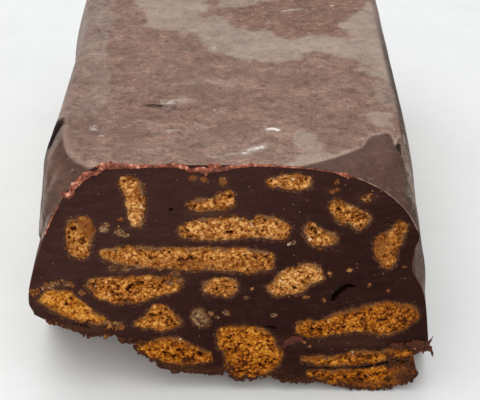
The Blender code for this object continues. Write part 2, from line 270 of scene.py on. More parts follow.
def to_line(points, line):
    """Distance from each point to an open line."""
    start, edge = line[:-1], np.diff(line, axis=0)
    rel = points[:, None] - start[None]
    share = np.clip((rel * edge).sum(2) / np.maximum((edge**2).sum(1), TINY), 0, 1)
    return np.linalg.norm(rel - share[..., None] * edge, axis=2).min(1)


def beside(points, line, width):
    """1 on an open line, fading to both sides over a width."""
    return np.exp(-((to_line(points, line) / width) ** 2))


def lines_near(table, places, reach, among=None):
    """For each row of a table that ends with a line: its values, the places near the line, and the line.
    Places are given by their numbers, and a line of (x, back) lies on the loaf's top."""
    among = np.arange(len(places)) if among is None else among
    for *values, line in table:
        line = np.array(line, float)
        if line.shape[1] < places.shape[1]:
            line = np.concatenate((line, np.full((len(line), 1), HEIGHT)), 1)
        line = flow(line)
        near = among[(np.abs(places[among] - line.mean(0)) < reach).all(1)]
        yield *values, near, line


def blots(places, table):
    """The strongest of soft blots in the cut at each place: x, height, reach across, reach up, strength."""
    result = np.zeros(len(places))
    for x, height, across, up, strength in table:
        away = ((places[:, 0] - x) / across) ** 2 + ((places[:, 2] - height) / up) ** 2
        result = np.maximum(result, strength * np.exp(-away))
    return result


def honeycomb(low, high, step):
    """Points of a hexagonal grid over a rectangle."""
    rows = np.arange(low[1], high[1], step * math.sqrt(3) / 2)
    across = np.arange(low[0], high[0], step)
    shifts = (across + step / 2 * (i % 2) for i in range(len(rows)))
    return np.concatenate([np.stack((x, np.full(len(x), row)), 1) for x, row in zip(shifts, rows)])


def grid_inside(outline, step, least):
    """Points of a hexagonal grid that are at least so far inside an outline."""
    grid = honeycomb(outline.min(0), outline.max(0), step)
    return grid[inside(grid, outline) > least]


def apart(points, least):
    """The points without those that are nearer than a distance to one kept before."""
    tree = KDTree(len(points))
    for i, point in enumerate(points):
        tree.insert((*point, 0.0), i)
    tree.balance()
    dropped = set()
    for i, point in enumerate(points):
        if i not in dropped:
            dropped |= {j for _, j, _ in tree.find_range((*point, 0.0), least) if j > i}
    return points[[i for i in range(len(points)) if i not in dropped]]


# ---------------------------------------------------------------- meshes


def normals_out(mesh):
    """Turns a mesh's faces outward, and gives the normals of its points."""
    shape = bmesh.new()
    shape.from_mesh(mesh)
    bmesh.ops.recalc_face_normals(shape, faces=shape.faces[:])
    normals = np.array([vertex.normal for vertex in shape.verts])
    shape.to_mesh(mesh)
    shape.free()
    return normals


class Shell:
    """A closed mesh in the making. Its points are (x, back, height)."""

    def __init__(self):
        self.points, self.faces, self.kinds = [], [], []

    def add(self, points):
        first = len(self.points)
        self.points.extend(np.asarray(points, float).tolist())
        return list(range(first, len(self.points)))

    def add_flat(self, flat, deep, plane=IN_CUT):
        """Adds points seen flat in a plane, with their third coordinate."""
        places = np.empty((len(flat), 3))
        places[:, plane] = flat
        places[:, 3 - sum(plane)] = deep
        return self.add(places)

    def seen(self, ids, plane):
        return np.array(self.points)[ids][:, plane]

    def face(self, corners, kind):
        self.faces.append(corners)
        self.kinds.append(kind)

    def join(self, near, far, near_shares, far_shares, closed=False, kind=0):
        """Triangles between two lines of points, by each point's share of the way along its line."""
        if closed:
            near, far = near + near[:1], far + far[:1]
            near_shares = np.append(near_shares, 1.0)
            far_shares = np.append(far_shares, 1.0)
        i = j = 0
        while i < len(near) - 1 or j < len(far) - 1:
            if j == len(far) - 1 or (i < len(near) - 1 and near_shares[i + 1] <= far_shares[j + 1]):
                self.face((near[i], near[i + 1], far[j]), kind)
                i += 1
            else:
                self.face((near[i], far[j + 1], far[j]), kind)
                j += 1

    def fill(self, rings, plane, inner=(), kind=0):
        """Triangles over a region seen flat, from its outer ring, its holes' rings and points inside."""
        places = np.array(self.points)[:, plane]
        ids = [i for ring in rings for i in ring] + list(inner)
        edges, first = [], 0
        for ring in rings:
            edges += [(first + i, first + (i + 1) % len(ring)) for i in range(len(ring))]
            first += len(ring)
        flat = [Vector(places[i]) for i in ids]
        _, _, faces, origins, _, _ = geometry.delaunay_2d_cdt(flat, edges, [], 1, 1e-7, True)
        triangles = np.array([[origins[i][0] for i in face] for face in faces])

        # the rings part the triangles into regions, and only the one between the rings is kept
        rims = {frozenset(edge) for edge in edges}
        across, region = {}, list(range(len(triangles)))

        def root(i):
            while region[i] != i:
                region[i] = region[region[i]]
                i = region[i]
            return i

        for number, (a, b, c) in enumerate(triangles.tolist()):
            for edge in (frozenset((a, b)), frozenset((b, c)), frozenset((c, a))):
                if edge not in rims and edge in across:
                    region[root(number)] = root(across[edge])
                across[edge] = number
        corners = places[np.array(ids)[triangles]]
        sides = corners[:, 1:] - corners[:, :1]
        area = np.abs(sides[:, 0, 0] * sides[:, 1, 1] - sides[:, 0, 1] * sides[:, 1, 0])
        owner = np.array([root(i) for i in range(len(triangles))])
        for chosen in np.unique(owner):
            members = np.flatnonzero(owner == chosen)
            middle = corners[members[np.argmax(area[members])]].mean(0)[None]
            within = [inside(middle, places[ring])[0] for ring in rings]
            if within[0] > 1e-4 and max([-1.0] + within[1:]) < 0:
                for triangle in triangles[members].tolist():
                    self.face(tuple(ids[i] for i in triangle), kind)

    def loft(self, rings, kind=0):
        """Walls through rings of equal length."""
        for near, far in zip(rings, rings[1:]):
            for i in range(len(near)):
                j = (i + 1) % len(near)
                self.face((near[i], near[j], far[j], far[i]), kind)

    def make(self, name, materials, slot, attributes, replaces=()):
        mesh = bpy.data.meshes.new(name)
        places = (np.array(self.points) + (0.0, CUT_Y, 0.0)) * MM
        mesh.from_pydata(places.tolist(), [], self.faces)
        for material in materials:
            mesh.materials.append(material)
        mesh.polygons.foreach_set("material_index", self.kinds)
        normals_out(mesh)
        mesh.shade_smooth()
        for label, values in attributes.items():
            layer = mesh.attributes.new(label, "FLOAT", "POINT")
            layer.data.foreach_set("value", np.asarray(values, np.float32))
        piece = bpy.data.objects.new(name, mesh)
        bpy.context.scene.collection.objects.link(piece)
        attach(piece, "root")
        if replaces:
            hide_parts(*replaces)


# ---------------------------------------------------------------- materials


class Value:
    """A number that shader nodes work out."""

    def __init__(self, look, socket):
        self.look, self.socket = look, socket

    def math(self, operation, other=0.0):
        made = self.look.node("ShaderNodeMath", {0: self, 1: other}, operation=operation)
        return Value(self.look, made.outputs[0])

    def __add__(self, other):
        return self.math("ADD", other)

    def __sub__(self, other):
        return self.math("SUBTRACT", other)

    def __mul__(self, other):
        return self.math("MULTIPLY", other)

    def most(self, other):
        return self.math("MAXIMUM", other)

    def ramp(self, low, high, start=0.0, end=1.0):
        """The value's place between low and high, eased, turned into start to end."""
        inputs = {"Value": self, "From Min": low, "From Max": high, "To Min": start, "To Max": end}
        made = self.look.node("ShaderNodeMapRange", inputs, interpolation_type="SMOOTHSTEP")
        return Value(self.look, made.outputs[0])


class Look:
    """A material in the making, from shader nodes. Its colour is built up in coats."""

    def __init__(self, name):
        self.material = bpy.data.materials.new(name)
        self.material.use_nodes = True
        self.tree = self.material.node_tree
        self.shader = self.tree.nodes["Principled BSDF"]
        self.colour = None
        place = self.node("ShaderNodeTexCoord").outputs["Object"]
        in_mm = self.node("ShaderNodeVectorMath", {0: place, "Scale": 1 / MM}, operation="SCALE")
        self.place = in_mm.outputs[0]

    def give(self, socket, value):
        value = value.socket if isinstance(value, Value) else value
        if isinstance(value, bpy.types.NodeSocket):
            self.tree.links.new(value, socket)
        else:
            socket.default_value = value

    def node(self, kind, inputs=None, **settings):
        made = self.tree.nodes.new(kind)
        for key, value in settings.items():
            setattr(made, key, value)
        for key, value in (inputs or {}).items():
            self.give(made.inputs[key], value)
        return made

    def stretched(self, scale):
        return self.node("ShaderNodeVectorMath", {0: self.place, 1: scale}, operation="MULTIPLY").outputs[0]

    def warped(self, size, amount):
        """The place, shifted this way and that."""
        shift = self.node("ShaderNodeTexNoise", {"Vector": self.place, "Scale": 1 / size, "Detail": 2.0})
        middle = {0: shift.outputs["Color"], 1: (0.5, 0.5, 0.5)}
        centred = self.node("ShaderNodeVectorMath", middle, operation="SUBTRACT").outputs[0]
        scaled = self.node("ShaderNodeVectorMath", {0: centred, "Scale": amount}, operation="SCALE")
        both = {0: scaled.outputs[0], 1: self.place}
        return self.node("ShaderNodeVectorMath", both, operation="ADD").outputs[0]

    def coordinates(self):
        """Where a point is across, along and up, in the scene's millimetres."""
        return [Value(self, socket) for socket in self.node("ShaderNodeSeparateXYZ", {0: self.place}).outputs]

    def noise(self, size, detail=2.0, roughness=0.5, place=None, distortion=0.0):
        inputs = {"Vector": place or self.place, "Scale": 1 / size, "Detail": detail}
        inputs |= {"Roughness": roughness, "Distortion": distortion}
        return Value(self, self.node("ShaderNodeTexNoise", inputs).outputs["Fac"])

    def cells(self, size, place=None):
        """The distance from the middle of the nearest of many cells."""
        inputs = {"Vector": place or self.place, "Scale": 1 / size}
        return Value(self, self.node("ShaderNodeTexVoronoi", inputs).outputs["Distance"])

    def attribute(self, name):
        return Value(self, self.node("ShaderNodeAttribute", attribute_name=name).outputs["Fac"])

    def mix(self, share, first, second, blend="MIX"):
        first, second = ((*c, 1.0) if isinstance(c, tuple) else c for c in (first, second))
        inputs = {0: share, 6: first, 7: second}
        return self.node("ShaderNodeMix", inputs, data_type="RGBA", blend_type=blend).outputs[2]

    def coat(self, share, colour):
        self.colour = self.mix(share, self.colour, colour)

    def darken(self, value):
        grey = self.node("ShaderNodeCombineXYZ", {0: value, 1: value, 2: value}).outputs[0]
        self.colour = self.mix(1.0, self.colour, grey, "MULTIPLY")

    def finish(self, roughness, height, distance, gloss):
        """Sets the surface. Bump height is in units of distance, in millimetres."""
        bump = self.node("ShaderNodeBump", {"Height": height, "Distance": distance * MM}).outputs[0]
        surface = {"Base Color": self.colour, "Roughness": roughness, "Normal": bump}
        surface["Specular IOR Level"] = gloss
        for key, value in surface.items():
            self.give(self.shader.inputs[key], value)
        return self.material


def skin_look():
    look = Look("moulded_skin")
    seen = look.stretched((0.7, 0.7, 1.0))
    grain = look.noise(0.34, 3.0, 0.7, seen)
    mottle = look.noise(1.35, 5.0, 0.72, look.stretched((0.6, 0.65, 1.0)))
    cloud = look.noise(9.0, 5.0, 0.6, look.stretched((0.8, 0.7, 1.0)), 0.4)
    wave = look.noise(4.5, 4.0, 0.6, look.stretched((0.6, 0.7, 1.0)), 0.6)
    across, along, height = look.coordinates()

    # patches of bloom, and painted highlight on grains that catch the light, stronger near the cut
    edge = look.noise(5.5, 2.0, 0.5).ramp(0.25, 0.75, -1.5, 1.5)
    edge += look.noise(1.3, 3.0, 0.65).ramp(0.25, 0.75, -0.55, 0.55)
    bloom = (look.attribute("bloom") + edge).ramp(-1.2, 1.5)
    veil = (look.attribute("veil") + edge * 0.3).ramp(-0.9, 0.9)
    veil *= (cloud + mottle.ramp(0.3, 0.7, -0.08, 0.08)).ramp(0.35, 0.65, 0.3, 0.95)
    look.colour = look.mix(cloud.ramp(0.35, 0.65), (0.18, 0.09, 0.062), (0.208, 0.114, 0.081))
    look.coat((look.attribute("red") + edge).ramp(-0.7, 1.0) * 0.85, (0.172, 0.078, 0.048))
    look.coat(veil, (0.215, 0.147, 0.114))
    look.coat(bloom * cloud.ramp(0.35, 0.6, 0.72, 1.0), (0.318, 0.236, 0.186))
    lit = grain.ramp(0.5, 0.76, 0.0, 0.6).most(mottle.ramp(0.5, 0.74, 0.0, 0.6))
    lit *= wave.ramp(0.3, 0.65, 0.45, 1.25)
    # painted highlight: the top is lighter near the cut
    look.coat(lit + along.ramp(CUT_Y + 8.0, CUT_Y + 30.0, 0.12, 0.0), (0.36, 0.253, 0.198))
    shades = grain.ramp(0.24, 0.52, 0.44, 1.08) * mottle.ramp(0.28, 0.52, 0.52, 1.07)
    shades *= wave.ramp(0.28, 0.68, 0.84, 1.15)
    shades -= look.cells(1.5, seen).ramp(0.06, 0.2, 0.5, 0.0) * cloud.ramp(0.4, 0.6, 1.0, 0.2)
    shades = (shades - 1.0) * bloom.ramp(0.0, 1.0, 1.0, 0.65) + 1.0

    # the film's facets, in painted shade where they turn from the light: darkest beside their border with the
    # top, darker on the right facet but lighter near its top, and a painted highlight as a pale rim outside
    # it
    facet = look.attribute("facet") + mottle.ramp(0.3, 0.7, -0.12, 0.12)
    right = across.ramp(0.0, 10.0)
    painted_facet_shade = look.mix(facet.ramp(0.2, 5.0), (0.062, 0.026, 0.016), (0.108, 0.052, 0.035))
    painted_facet_shade = look.mix(wave.ramp(0.35, 0.7, 0.0, 0.5), painted_facet_shade, (0.125, 0.066, 0.046))
    painted_facet_shade = look.mix(right * height.ramp(69.0, 75.5, 0.0, 0.45), painted_facet_shade, (0.205, 0.118, 0.093))
    painted_facet_shade = look.mix(right * 0.4, painted_facet_shade, (0.062, 0.022, 0.014))
    look.coat(facet.ramp(-0.3, 0.6), painted_facet_shade)
    look.coat(facet.ramp(-1.6, -0.35) * facet.ramp(-0.3, 0.05, 1.0, 0.0) * 0.25, (0.4, 0.28, 0.22))
    # painted shade on the walls near the cut
    painted_wall_shade = look.attribute("painted_wall_shade")
    look.coat(painted_wall_shade, (0.064, 0.037, 0.022))
    look.darken((shades - 1.0) * facet.ramp(0.0, 0.3, 1.0, 0.7) + 1.0)

    # wrinkled film: painted highlight and shade of its wrinkles, as soft pale and dark lines down the wall
    down = look.noise(1.8, 3.0, 0.6, look.stretched((1.0, 1.0, 0.22)), 0.5)
    look.coat(look.attribute("film") * down.ramp(0.42, 0.68), (0.33, 0.27, 0.24))
    look.coat(look.attribute("film") * down.ramp(0.32, 0.46, 0.8, 0.0), (0.05, 0.03, 0.022))
    # painted highlights: pale lines along the film's creases and edges, and glints
    painted_highlight = look.attribute("painted_highlight") * mottle.ramp(0.3, 0.6, 0.4, 1.0)
    look.coat(painted_highlight, (0.42, 0.34, 0.29))
    look.coat(painted_highlight.ramp(0.5, 0.95), (0.78, 0.71, 0.66))

    # scuffs, flecks, and painted shade in the folds and other darker places
    streaks = look.noise(1.1, 5.0, 0.75, look.stretched((0.6, 0.8, 0.6)))
    scuff = look.attribute("scuff") + streaks.ramp(0.3, 0.7, -0.55, 0.55)
    look.coat(scuff.ramp(0.3, 1.15, 0.0, 0.8), (0.6, 0.52, 0.47))
    flecks = look.cells(1.3, seen).ramp(0.1, 0.26, 0.6, 0.0) * mottle.ramp(0.48, 0.6)
    look.coat(flecks * facet.ramp(-0.3, 0.0, 1.0, 0.0), (0.48, 0.36, 0.3))
    # painted shade inside folds
    look.coat(look.attribute("shade"), (0.05, 0.026, 0.019))
    deep = look.mix(look.attribute("painted_fold_shade").ramp(0.3, 1.0), (0.036, 0.021, 0.014), (0.012, 0.005, 0.003))
    painted_fold_shade = (look.attribute("painted_fold_shade") + mottle.ramp(0.3, 0.7, -0.2, 0.2)).ramp(-0.12, 0.25)
    look.coat(painted_fold_shade, deep)
    gloss = facet.ramp(-0.1, 0.3, 0.28, 0.2) * painted_fold_shade.most(painted_wall_shade).ramp(0.0, 1.0, 1.0, 0.15)
    return look.finish(grain.ramp(0.3, 0.7, 0.38, 0.54), mottle * 1.1 + cloud, 0.3, gloss)


def cut_look():
    look = Look("cut_chocolate")
    streaks = look.noise(2.2, 3.0, 0.6, look.stretched((0.35, 1.0, 1.3)))
    fine = look.noise(0.45, 2.0, 0.6)
    across, _, height = look.coordinates()
    # painted shade: the cut face darker towards its lower right
    lower = (across * 0.7 - height).ramp(-88.0, -14.0)
    light = look.mix(lower, (0.049, 0.018, 0.014), (0.0265, 0.007, 0.0048))
    dark = look.mix(lower, (0.034, 0.0118, 0.0092), (0.0175, 0.0044, 0.003))
    look.colour = look.mix(streaks.ramp(0.3, 0.7), dark, light)
    look.coat(look.noise(9.0, 3.0, 0.6).ramp(0.4, 0.75, 0.0, 0.6), light)

    # a haze of crumb round the biscuits, pale dots, and the knife's thin lines
    near = look.attribute("near") + look.noise(1.1, 3.0, 0.6).ramp(0.25, 0.75, -0.7, 0.6)
    haze = near.ramp(-0.85, 0.15).most(look.attribute("crumby"))
    look.coat(haze * fine.ramp(0.3, 0.7, 0.35, 1.0), (0.115, 0.046, 0.021))
    dots = look.cells(2.2).ramp(0.05, 0.11, 0.55, 0.0) * look.noise(7.0).ramp(0.4, 0.55)
    look.coat(dots, (0.36, 0.21, 0.14))
    lines = (look.noise(2.6, 2.0, 0.5, look.stretched((0.5, 1.0, 1.6)), 1.5) - 0.5).math("ABSOLUTE")
    look.coat(lines.ramp(0.0, 0.012, 0.35, 0.0) * look.noise(5.0).ramp(0.5, 0.62), (0.16, 0.085, 0.06))
    # painted shade in the cut's hollows and cracks
    look.coat(look.attribute("hollow"), (0.008, 0.003, 0.002))
    return look.finish(streaks.ramp(0.3, 0.7, 0.32, 0.46), streaks * 0.6 + fine * 0.25, 0.1, 0.05)


def crumb_look():
    look = Look("biscuit_crumb")
    warped = look.warped(1.1, 0.9)
    coarse = look.noise(3.2, 3.0, 0.6)
    grain = look.noise(1.3, 3.0, 0.62, distortion=1.1)
    fine = look.noise(0.42, 2.0, 0.6)
    tone = look.attribute("tone")

    # the porous crumb, from its dark pores to its pale walls
    wall = grain * 0.8 + fine * 0.3
    wall += look.cells(1.0, warped).ramp(0.1, 0.75, 0.05, -0.13)
    wall += look.cells(1.9, warped).ramp(0.1, 0.32, -0.16, 0.0)
    wall += coarse.ramp(0.3, 0.7, -0.07, 0.06)
    # painted shade in the cracks; each biscuit's lighter tone works the other way
    wall -= look.attribute("hole") * 0.3
    wall -= tone.ramp(0.8, 1.0) * look.noise(2.4).ramp(0.48, 0.66, 0.0, 0.15)
    deep = look.mix(tone, (0.22, 0.062, 0.01), (0.17, 0.036, 0.003))
    look.colour = look.mix(wall.ramp(0.28, 0.38), (0.022, 0.005, 0.001), deep)
    look.coat(wall.ramp(0.37, 0.48), look.mix(tone, (0.46, 0.165, 0.031), (0.41, 0.115, 0.004)))
    look.coat(wall.ramp(0.48, 0.64), look.mix(tone, (0.85, 0.43, 0.13), (0.7, 0.27, 0.02)))
    look.coat(wall.ramp(0.6, 0.72, 0.0, 0.6), look.mix(tone, (0.95, 0.64, 0.32), (0.85, 0.42, 0.07)))
    # painted glints: small pale specks where the crumb catches the light
    look.coat(look.cells(2.3).ramp(0.04, 0.13, 0.7, 0.0) * grain.ramp(0.45, 0.62), (0.95, 0.74, 0.52))

    # softer and darker towards its border, partly soaked with chocolate and partly painted shade for depth,
    # and dull where it lies behind a film of chocolate
    soft = (look.attribute("rim") + coarse.ramp(0.3, 0.7, -0.9, 0.9)).ramp(0.2, 2.4, 0.55, 0.0)
    look.coat(soft, look.mix(0.7, look.colour, (0.17, 0.05, 0.008)))
    filmed = look.mix(wall.ramp(0.36, 0.62), (0.085, 0.042, 0.022), (0.33, 0.205, 0.105))
    look.coat(look.attribute("dull"), filmed)
    patchy = look.noise(4.5).ramp(0.3, 0.7, -0.7, 0.8)
    ragged = look.noise(0.8, 3.0, 0.7).ramp(0.25, 0.75, -0.5, 0.5)
    rim = look.attribute("rim") + (patchy + ragged)
    film = look.mix(tone.ramp(0.2, 0.8), (0.32, 0.165, 0.075), (0.27, 0.105, 0.028))
    look.coat(rim.ramp(0.0, 0.9, 0.85, 0.0), look.mix(fine.ramp(0.35, 0.65), (0.12, 0.05, 0.02), film))
    look.coat(rim.ramp(-0.7, 0.1, 0.9, 0.0), (0.1, 0.045, 0.025))

    # smears of melted chocolate, and specks of fat
    smear = look.attribute("smear") + grain.ramp(0.25, 0.75, -0.25, 0.25)
    look.coat(smear.ramp(0.05, 0.5, 0.0, 0.8), (0.24, 0.072, 0.014))
    look.coat(smear.ramp(0.4, 0.9, 0.0, 0.95), (0.06, 0.022, 0.013))
    fat = look.attribute("fat") + grain.ramp(0.3, 0.7, -0.35, 0.2)
    look.coat(fat.ramp(0.2, 0.9), (0.85, 0.65, 0.46))
    return look.finish(grain.ramp(0.3, 0.7, 0.6, 0.85), wall, 0.7, 0.05)


def lip_look():
    look = Look("dragged_lip")
    fleck = look.noise(1.1, 2.0, 0.55) + look.noise(2.6).ramp(0.3, 0.7, -0.12, 0.12)
    look.colour = look.mix(fleck.ramp(0.36, 0.54), (0.12, 0.024, 0.011), (0.31, 0.076, 0.034))
    # painted highlights: pale flecks where the lip catches the light
    look.coat(fleck.ramp(0.58, 0.74), (0.7, 0.33, 0.21))
    return look.finish(fleck.ramp(0.3, 0.7, 0.5, 0.34), fleck, 0.3, 0.3)


def plain_look(name, dark, pale, size, roughness, bump):
    look = Look(name)
    fleck = look.noise(size, 4.0, 0.7)
    look.colour = look.mix(fleck.ramp(0.3, 0.7), dark, pale)
    return look.finish(fleck.ramp(0.3, 0.7, roughness - 0.08, roughness + 0.08), fleck, bump, 0.15)


SKIN = skin_look()
CUT = cut_look()
CRUMB = crumb_look()
# painted highlight: the pale thin line where the skin's edge catches the light
EDGE_HIGHLIGHT = plain_look("thin_edge_highlight", (0.15, 0.075, 0.052), (0.33, 0.21, 0.16), 1.6, 0.45, 0.1)
DARK_EDGE = plain_look("torn_edge", (0.035, 0.007, 0.0035), (0.125, 0.028, 0.014), 0.9, 0.5, 0.1)
RED_LIP = lip_look()
FLOOR_LOOK = plain_look("floor", (0.80, 0.81, 0.80), (0.84, 0.85, 0.84), 60.0, 0.7, 0.02)

# ---------------------------------------------------------------- biscuits

BISCUIT_STEP = 0.3
BORDER_STEP = 0.38
LEAST_BORDER = 24  # points in a biscuit's outline
ROUGH = 0.5
# These reach past the cut's lower edge, so the chocolate steps back behind them instead of holding them
# in a pocket
BARED = ("biscuit_base_lens", "biscuit_base_centre", "biscuit_base_right_upper", "biscuit_base_right_lower")
STEP_BACK = 1.6
SINK = 0.3  # how deep a biscuit's border lies behind the cut
PROUD = 0.12  # how far its middle stands out
UNDERSIDE = tuple(f"underside_biscuit_{number}" for number in range(1, 6))
UNDERSIDE_FACE = 0.5
UNDERSIDE_TONE = 0.6
# Each biscuit in the cut: its tone, from tan to dark orange, how much lighter than the rest it is, and
# where its broken edge swells or gives way, as (x, height, push outward, spread)
BISCUITS = {
    "biscuit_upper_left": (0.0, 0.08, ((-21.4, 65.0, -0.8, 4.5), (-28.4, 63.5, -0.7, 3.0),
        (-26.0, 72.0, -0.4, 2.5))),
    "biscuit_left_edge": (0.3, 0.0, ((-41.3, 59.3, -1.0, 1.0), (-36.3, 54.2, 0.4, 1.5),
        (-37.3, 47.5, -0.5, 2.0))),
    "biscuit_long_lower": (0.25, 0.0, ((-28.4, 50.2, -0.5, 0.7),)),
    "biscuit_long_upper": (0.05, 0.0, ((5.6, 59.0, -1.3, 1.1), (9.0, 60.0, 0.3, 1.3), (1.5, 59.2, 0.3, 1.3),
        (16.0, 57.2, 0.4, 1.2), (6.5, 51.7, -0.5, 1.5))),
    "biscuit_above_bar": (0.2, 0.0, ()),
    "biscuit_top": (0.1, 0.0, ((19.0, 72.6, -0.3, 3.0), (13.0, 67.5, -0.3, 2.5), (22.3, 69.5, -0.5, 1.5))),
    "biscuit_slanting": (0.3, 0.0, ()),
    "biscuit_beside_bar": (0.1, 0.0, ()),
    "biscuit_right_edge": (0.4, -0.1, ((39.7, 48.4, 1.3, 1.9), (48.3, 57.0, -0.6, 1.6),
        (42.0, 56.0, -0.6, 2.0))),
    "biscuit_leaning": (0.05, 0.18, ()),
    "biscuit_centre": (0.2, 0.0, ()),
    "biscuit_lens": (0.5, 0.0, ((-27.0, 40.6, -0.6, 6.0), (-19.0, 41.0, -0.5, 3.0),
        (-29.0, 30.1, -0.4, 4.0))),
    "biscuit_base_left": (0.8, 0.22, ((-53.0, 31.5, 0.3, 1.5), (-44.5, 35.0, 0.5, 1.5))),
    "biscuit_wedge": (0.6, 0.0, ((-20.6, 31.2, -0.4, 1.2), (-22.5, 28.0, 0.3, 1.2))),
    "biscuit_dull_chip": (0.0, 0.0, ()),
    "biscuit_base_lens": (0.9, 0.06, ()),
    "biscuit_base_centre": (0.9, 0.0, ((5.0, 24.1, -0.7, 4.5), (-4.6, 17.5, -0.3, 3.0))),
    "biscuit_lower_right": (0.85, -0.1, ((25.0, 26.7, -1.3, 2.6), (21.8, 25.8, 0.7, 1.0),
        (44.5, 31.8, 0.4, 2.0), (31.0, 19.8, -0.3, 2.0))),
    "biscuit_base_right_upper": (0.9, 0.0, ((34.3, 15.0, 0.5, 1.0), (28.0, 12.8, -0.4, 2.5))),
    "biscuit_base_right_lower": (1.0, 0.0, ()),
}
# Cracks and holes in the biscuits' faces, darkened with painted shade: width, depth, and points as (x,
# height)
FISSURES = (
    (0.5, 1.0, ((-28.3, 35.9), (-26.2, 37.3), (-24.0, 38.0))),
    (0.35, 0.6, ((-32.3, 37.3), (-30.6, 36.7))),
    (0.35, 0.6, ((-19.5, 36.6), (-18.0, 38.6))),
    (0.45, 1.1, ((-19.0, 13.7), (-17.6, 13.2), (-16.0, 12.4))),
    (0.6, 1.0, ((-8.8, 13.3), (-8.2, 13.0))),
    (0.65, 1.1, ((-13.0, 10.3), (-11.6, 10.6), (-10.6, 10.4))),
    (0.4, 0.7, ((-28.8, 49.5), (-27.9, 49.1))),
    (0.4, 0.9, ((-1.3, 54.2), (0.6, 54.6))),
    (0.35, 0.7, ((28.6, 61.9), (29.0, 61.4))),
    (0.45, 0.8, ((13.0, 36.3), (13.7, 36.2))),
    (0.4, 0.7, ((17.7, 36.2), (18.1, 36.1))),
    (0.4, 0.6, ((21.9, 55.7), (22.7, 55.3))),
    (0.4, 0.7, ((-22.5, 27.0), (-20.5, 26.9), (-19.4, 27.6))),
    (0.35, 0.6, ((-15.8, 24.6), (-15.6, 24.0))),
    (0.5, 0.7, ((-41.0, 22.9), (-39.5, 24.6), (-38.4, 24.4))),
    (0.4, 0.6, ((-47.0, 25.4), (-45.4, 26.4))),
    (0.35, 0.6, ((0.2, 65.2), (0.4, 66.0))),
    (0.4, 0.7, ((24.6, 22.2), (25.6, 22.0))),
    (0.35, 0.6, ((27.0, 25.0), (27.4, 24.8))),
    (0.35, 0.6, ((41.8, 25.6), (43.6, 25.7))),
    (0.35, 0.6, ((45.6, 21.8), (46.5, 22.2))),
    (0.35, 0.6, ((5.5, 16.8), (5.8, 16.5))),
    (0.35, 0.6, ((-0.8, 19.4), (-0.4, 19.2))),
    (0.4, 0.6, ((2.6, 7.0), (3.4, 6.8))),
    (0.4, 0.7, ((44.5, 4.0), (46.0, 4.4))),
    (0.35, 0.6, ((36.6, 6.2), (37.6, 6.6))),
    (0.35, 0.5, ((-42.0, 55.6), (-41.2, 55.2))),
    (0.35, 0.5, ((-43.2, 52.9), (-42.8, 52.7))),
)
# Where melted chocolate was dragged over a biscuit: x, height, reach across, reach up, strength
SMEARS = (
    (-37.9, 56.0, 2.8, 4.4, 0.5), (40.6, 50.0, 3.1, 4.8, 0.46), (48.0, 57.5, 1.6, 1.8, 0.5),
    (-41.5, 52.0, 3.0, 6.0, 0.22), (-14.0, 44.8, 20.0, 1.5, 0.3), (46.0, 27.0, 6.0, 3.0, 0.2),
    (50.5, 5.5, 4.6, 4.8, 0.9), (52.5, 8.5, 2.2, 2.6, 0.9), (27.5, 67.5, 1.5, 1.0, 0.6),
    (-47.0, 23.5, 9.0, 1.8, 0.4), (-15.0, 8.2, 12.0, 2.0, 0.7), (4.0, 1.2, 12.0, 2.6, 0.6),
    (35.0, 1.6, 18.0, 2.6, 0.6),
)
SMEARS_BACK = 3.0
# Pale specks of fat: x, height, reach
FAT = (
    (-10.3, 61.4, 0.9), (-23.3, 62.0, 0.8), (-12.0, 51.5, 1.0), (-9.8, 52.3, 0.6), (16.5, 70.8, 0.9),
    (21.5, 52.3, 1.0), (14.0, 38.8, 1.0), (-33.0, 33.8, 0.6), (-37.0, 36.5, 0.9), (-23.0, 24.2, 0.6),
    (-14.0, 18.5, 0.6), (10.5, 53.5, 0.7), (5.8, 57.0, 0.9), (34.7, 14.2, 0.7), (34.9, 13.2, 0.6),
)
FAT_BACK = 2.0


def node_outline(name, axis):
    """The outline of a solid biscuit's face at its low end along an axis, in the other two coordinates."""
    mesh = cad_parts[name].data
    places = [tuple(round(c, 6) for c in vertex.co) for vertex in mesh.vertices]
    low = min(place[axis] for place in places)
    following = {}
    for polygon in mesh.polygons:
        corners = [places[i] for i in polygon.vertices]
        if all(corner[axis] - low < 1e-6 for corner in corners):
            for start, end in zip(corners, corners[1:] + corners[:1]):
                if (end, start) in following:
                    del following[(end, start)]
                else:
                    following[(start, end)] = True
    after = dict(following.keys())
    outline = [next(iter(after))]
    while len(outline) < len(after):
        outline.append(after[outline[-1]])
    flat = np.array(outline)[:, [k for k in range(3) if k != axis]] / MM
    if axis == 2:
        flat[:, 1] -= CUT_Y
    return flat


def broken(outline, seed):
    """The outline with a broken biscuit's uneven edge."""
    line = flow(outline, closed=True)
    line = even(line, max(LEAST_BORDER, round(length_of(line) / BORDER_STEP)), closed=True)
    push = ROUGH * (noise_at(line, 2.8, seed) + 0.55 * noise_at(line, 1.1, seed + 0.5))
    return line + outward(line) * push[:, None]


def bumped(outline, bumps):
    for x, height, push, spread in bumps:
        near = np.exp(-(((outline - (x, height)) / spread) ** 2).sum(1))
        outline = outline + outward(outline) * (push * near)[:, None]
    return outline


def scaled(outline, scale):
    middle = outline.mean(0)
    return middle + (outline - middle) * scale


def fissured(flat):
    """How deep the cracks are at a face's points, and their painted shade."""
    depth, dark = np.zeros((2, len(flat)))
    for width, reach, line in FISSURES:
        line = np.array(line)
        near = np.flatnonzero((np.abs(flat - line.mean(0)) < 5).all(1))
        if len(near):
            wobble = 1 + 0.4 * noise_at(flat[near], 0.9, 77)
            share = beside(flat[near], line, width * wobble)
            share *= 0.35 + 0.65 * smooth(noise_at(flat[near], 0.8, 78), -0.45, 0.15)
            depth[near] = np.maximum(depth[near], reach * share)
            dark[near] = np.maximum(dark[near], share)
    return depth, dark


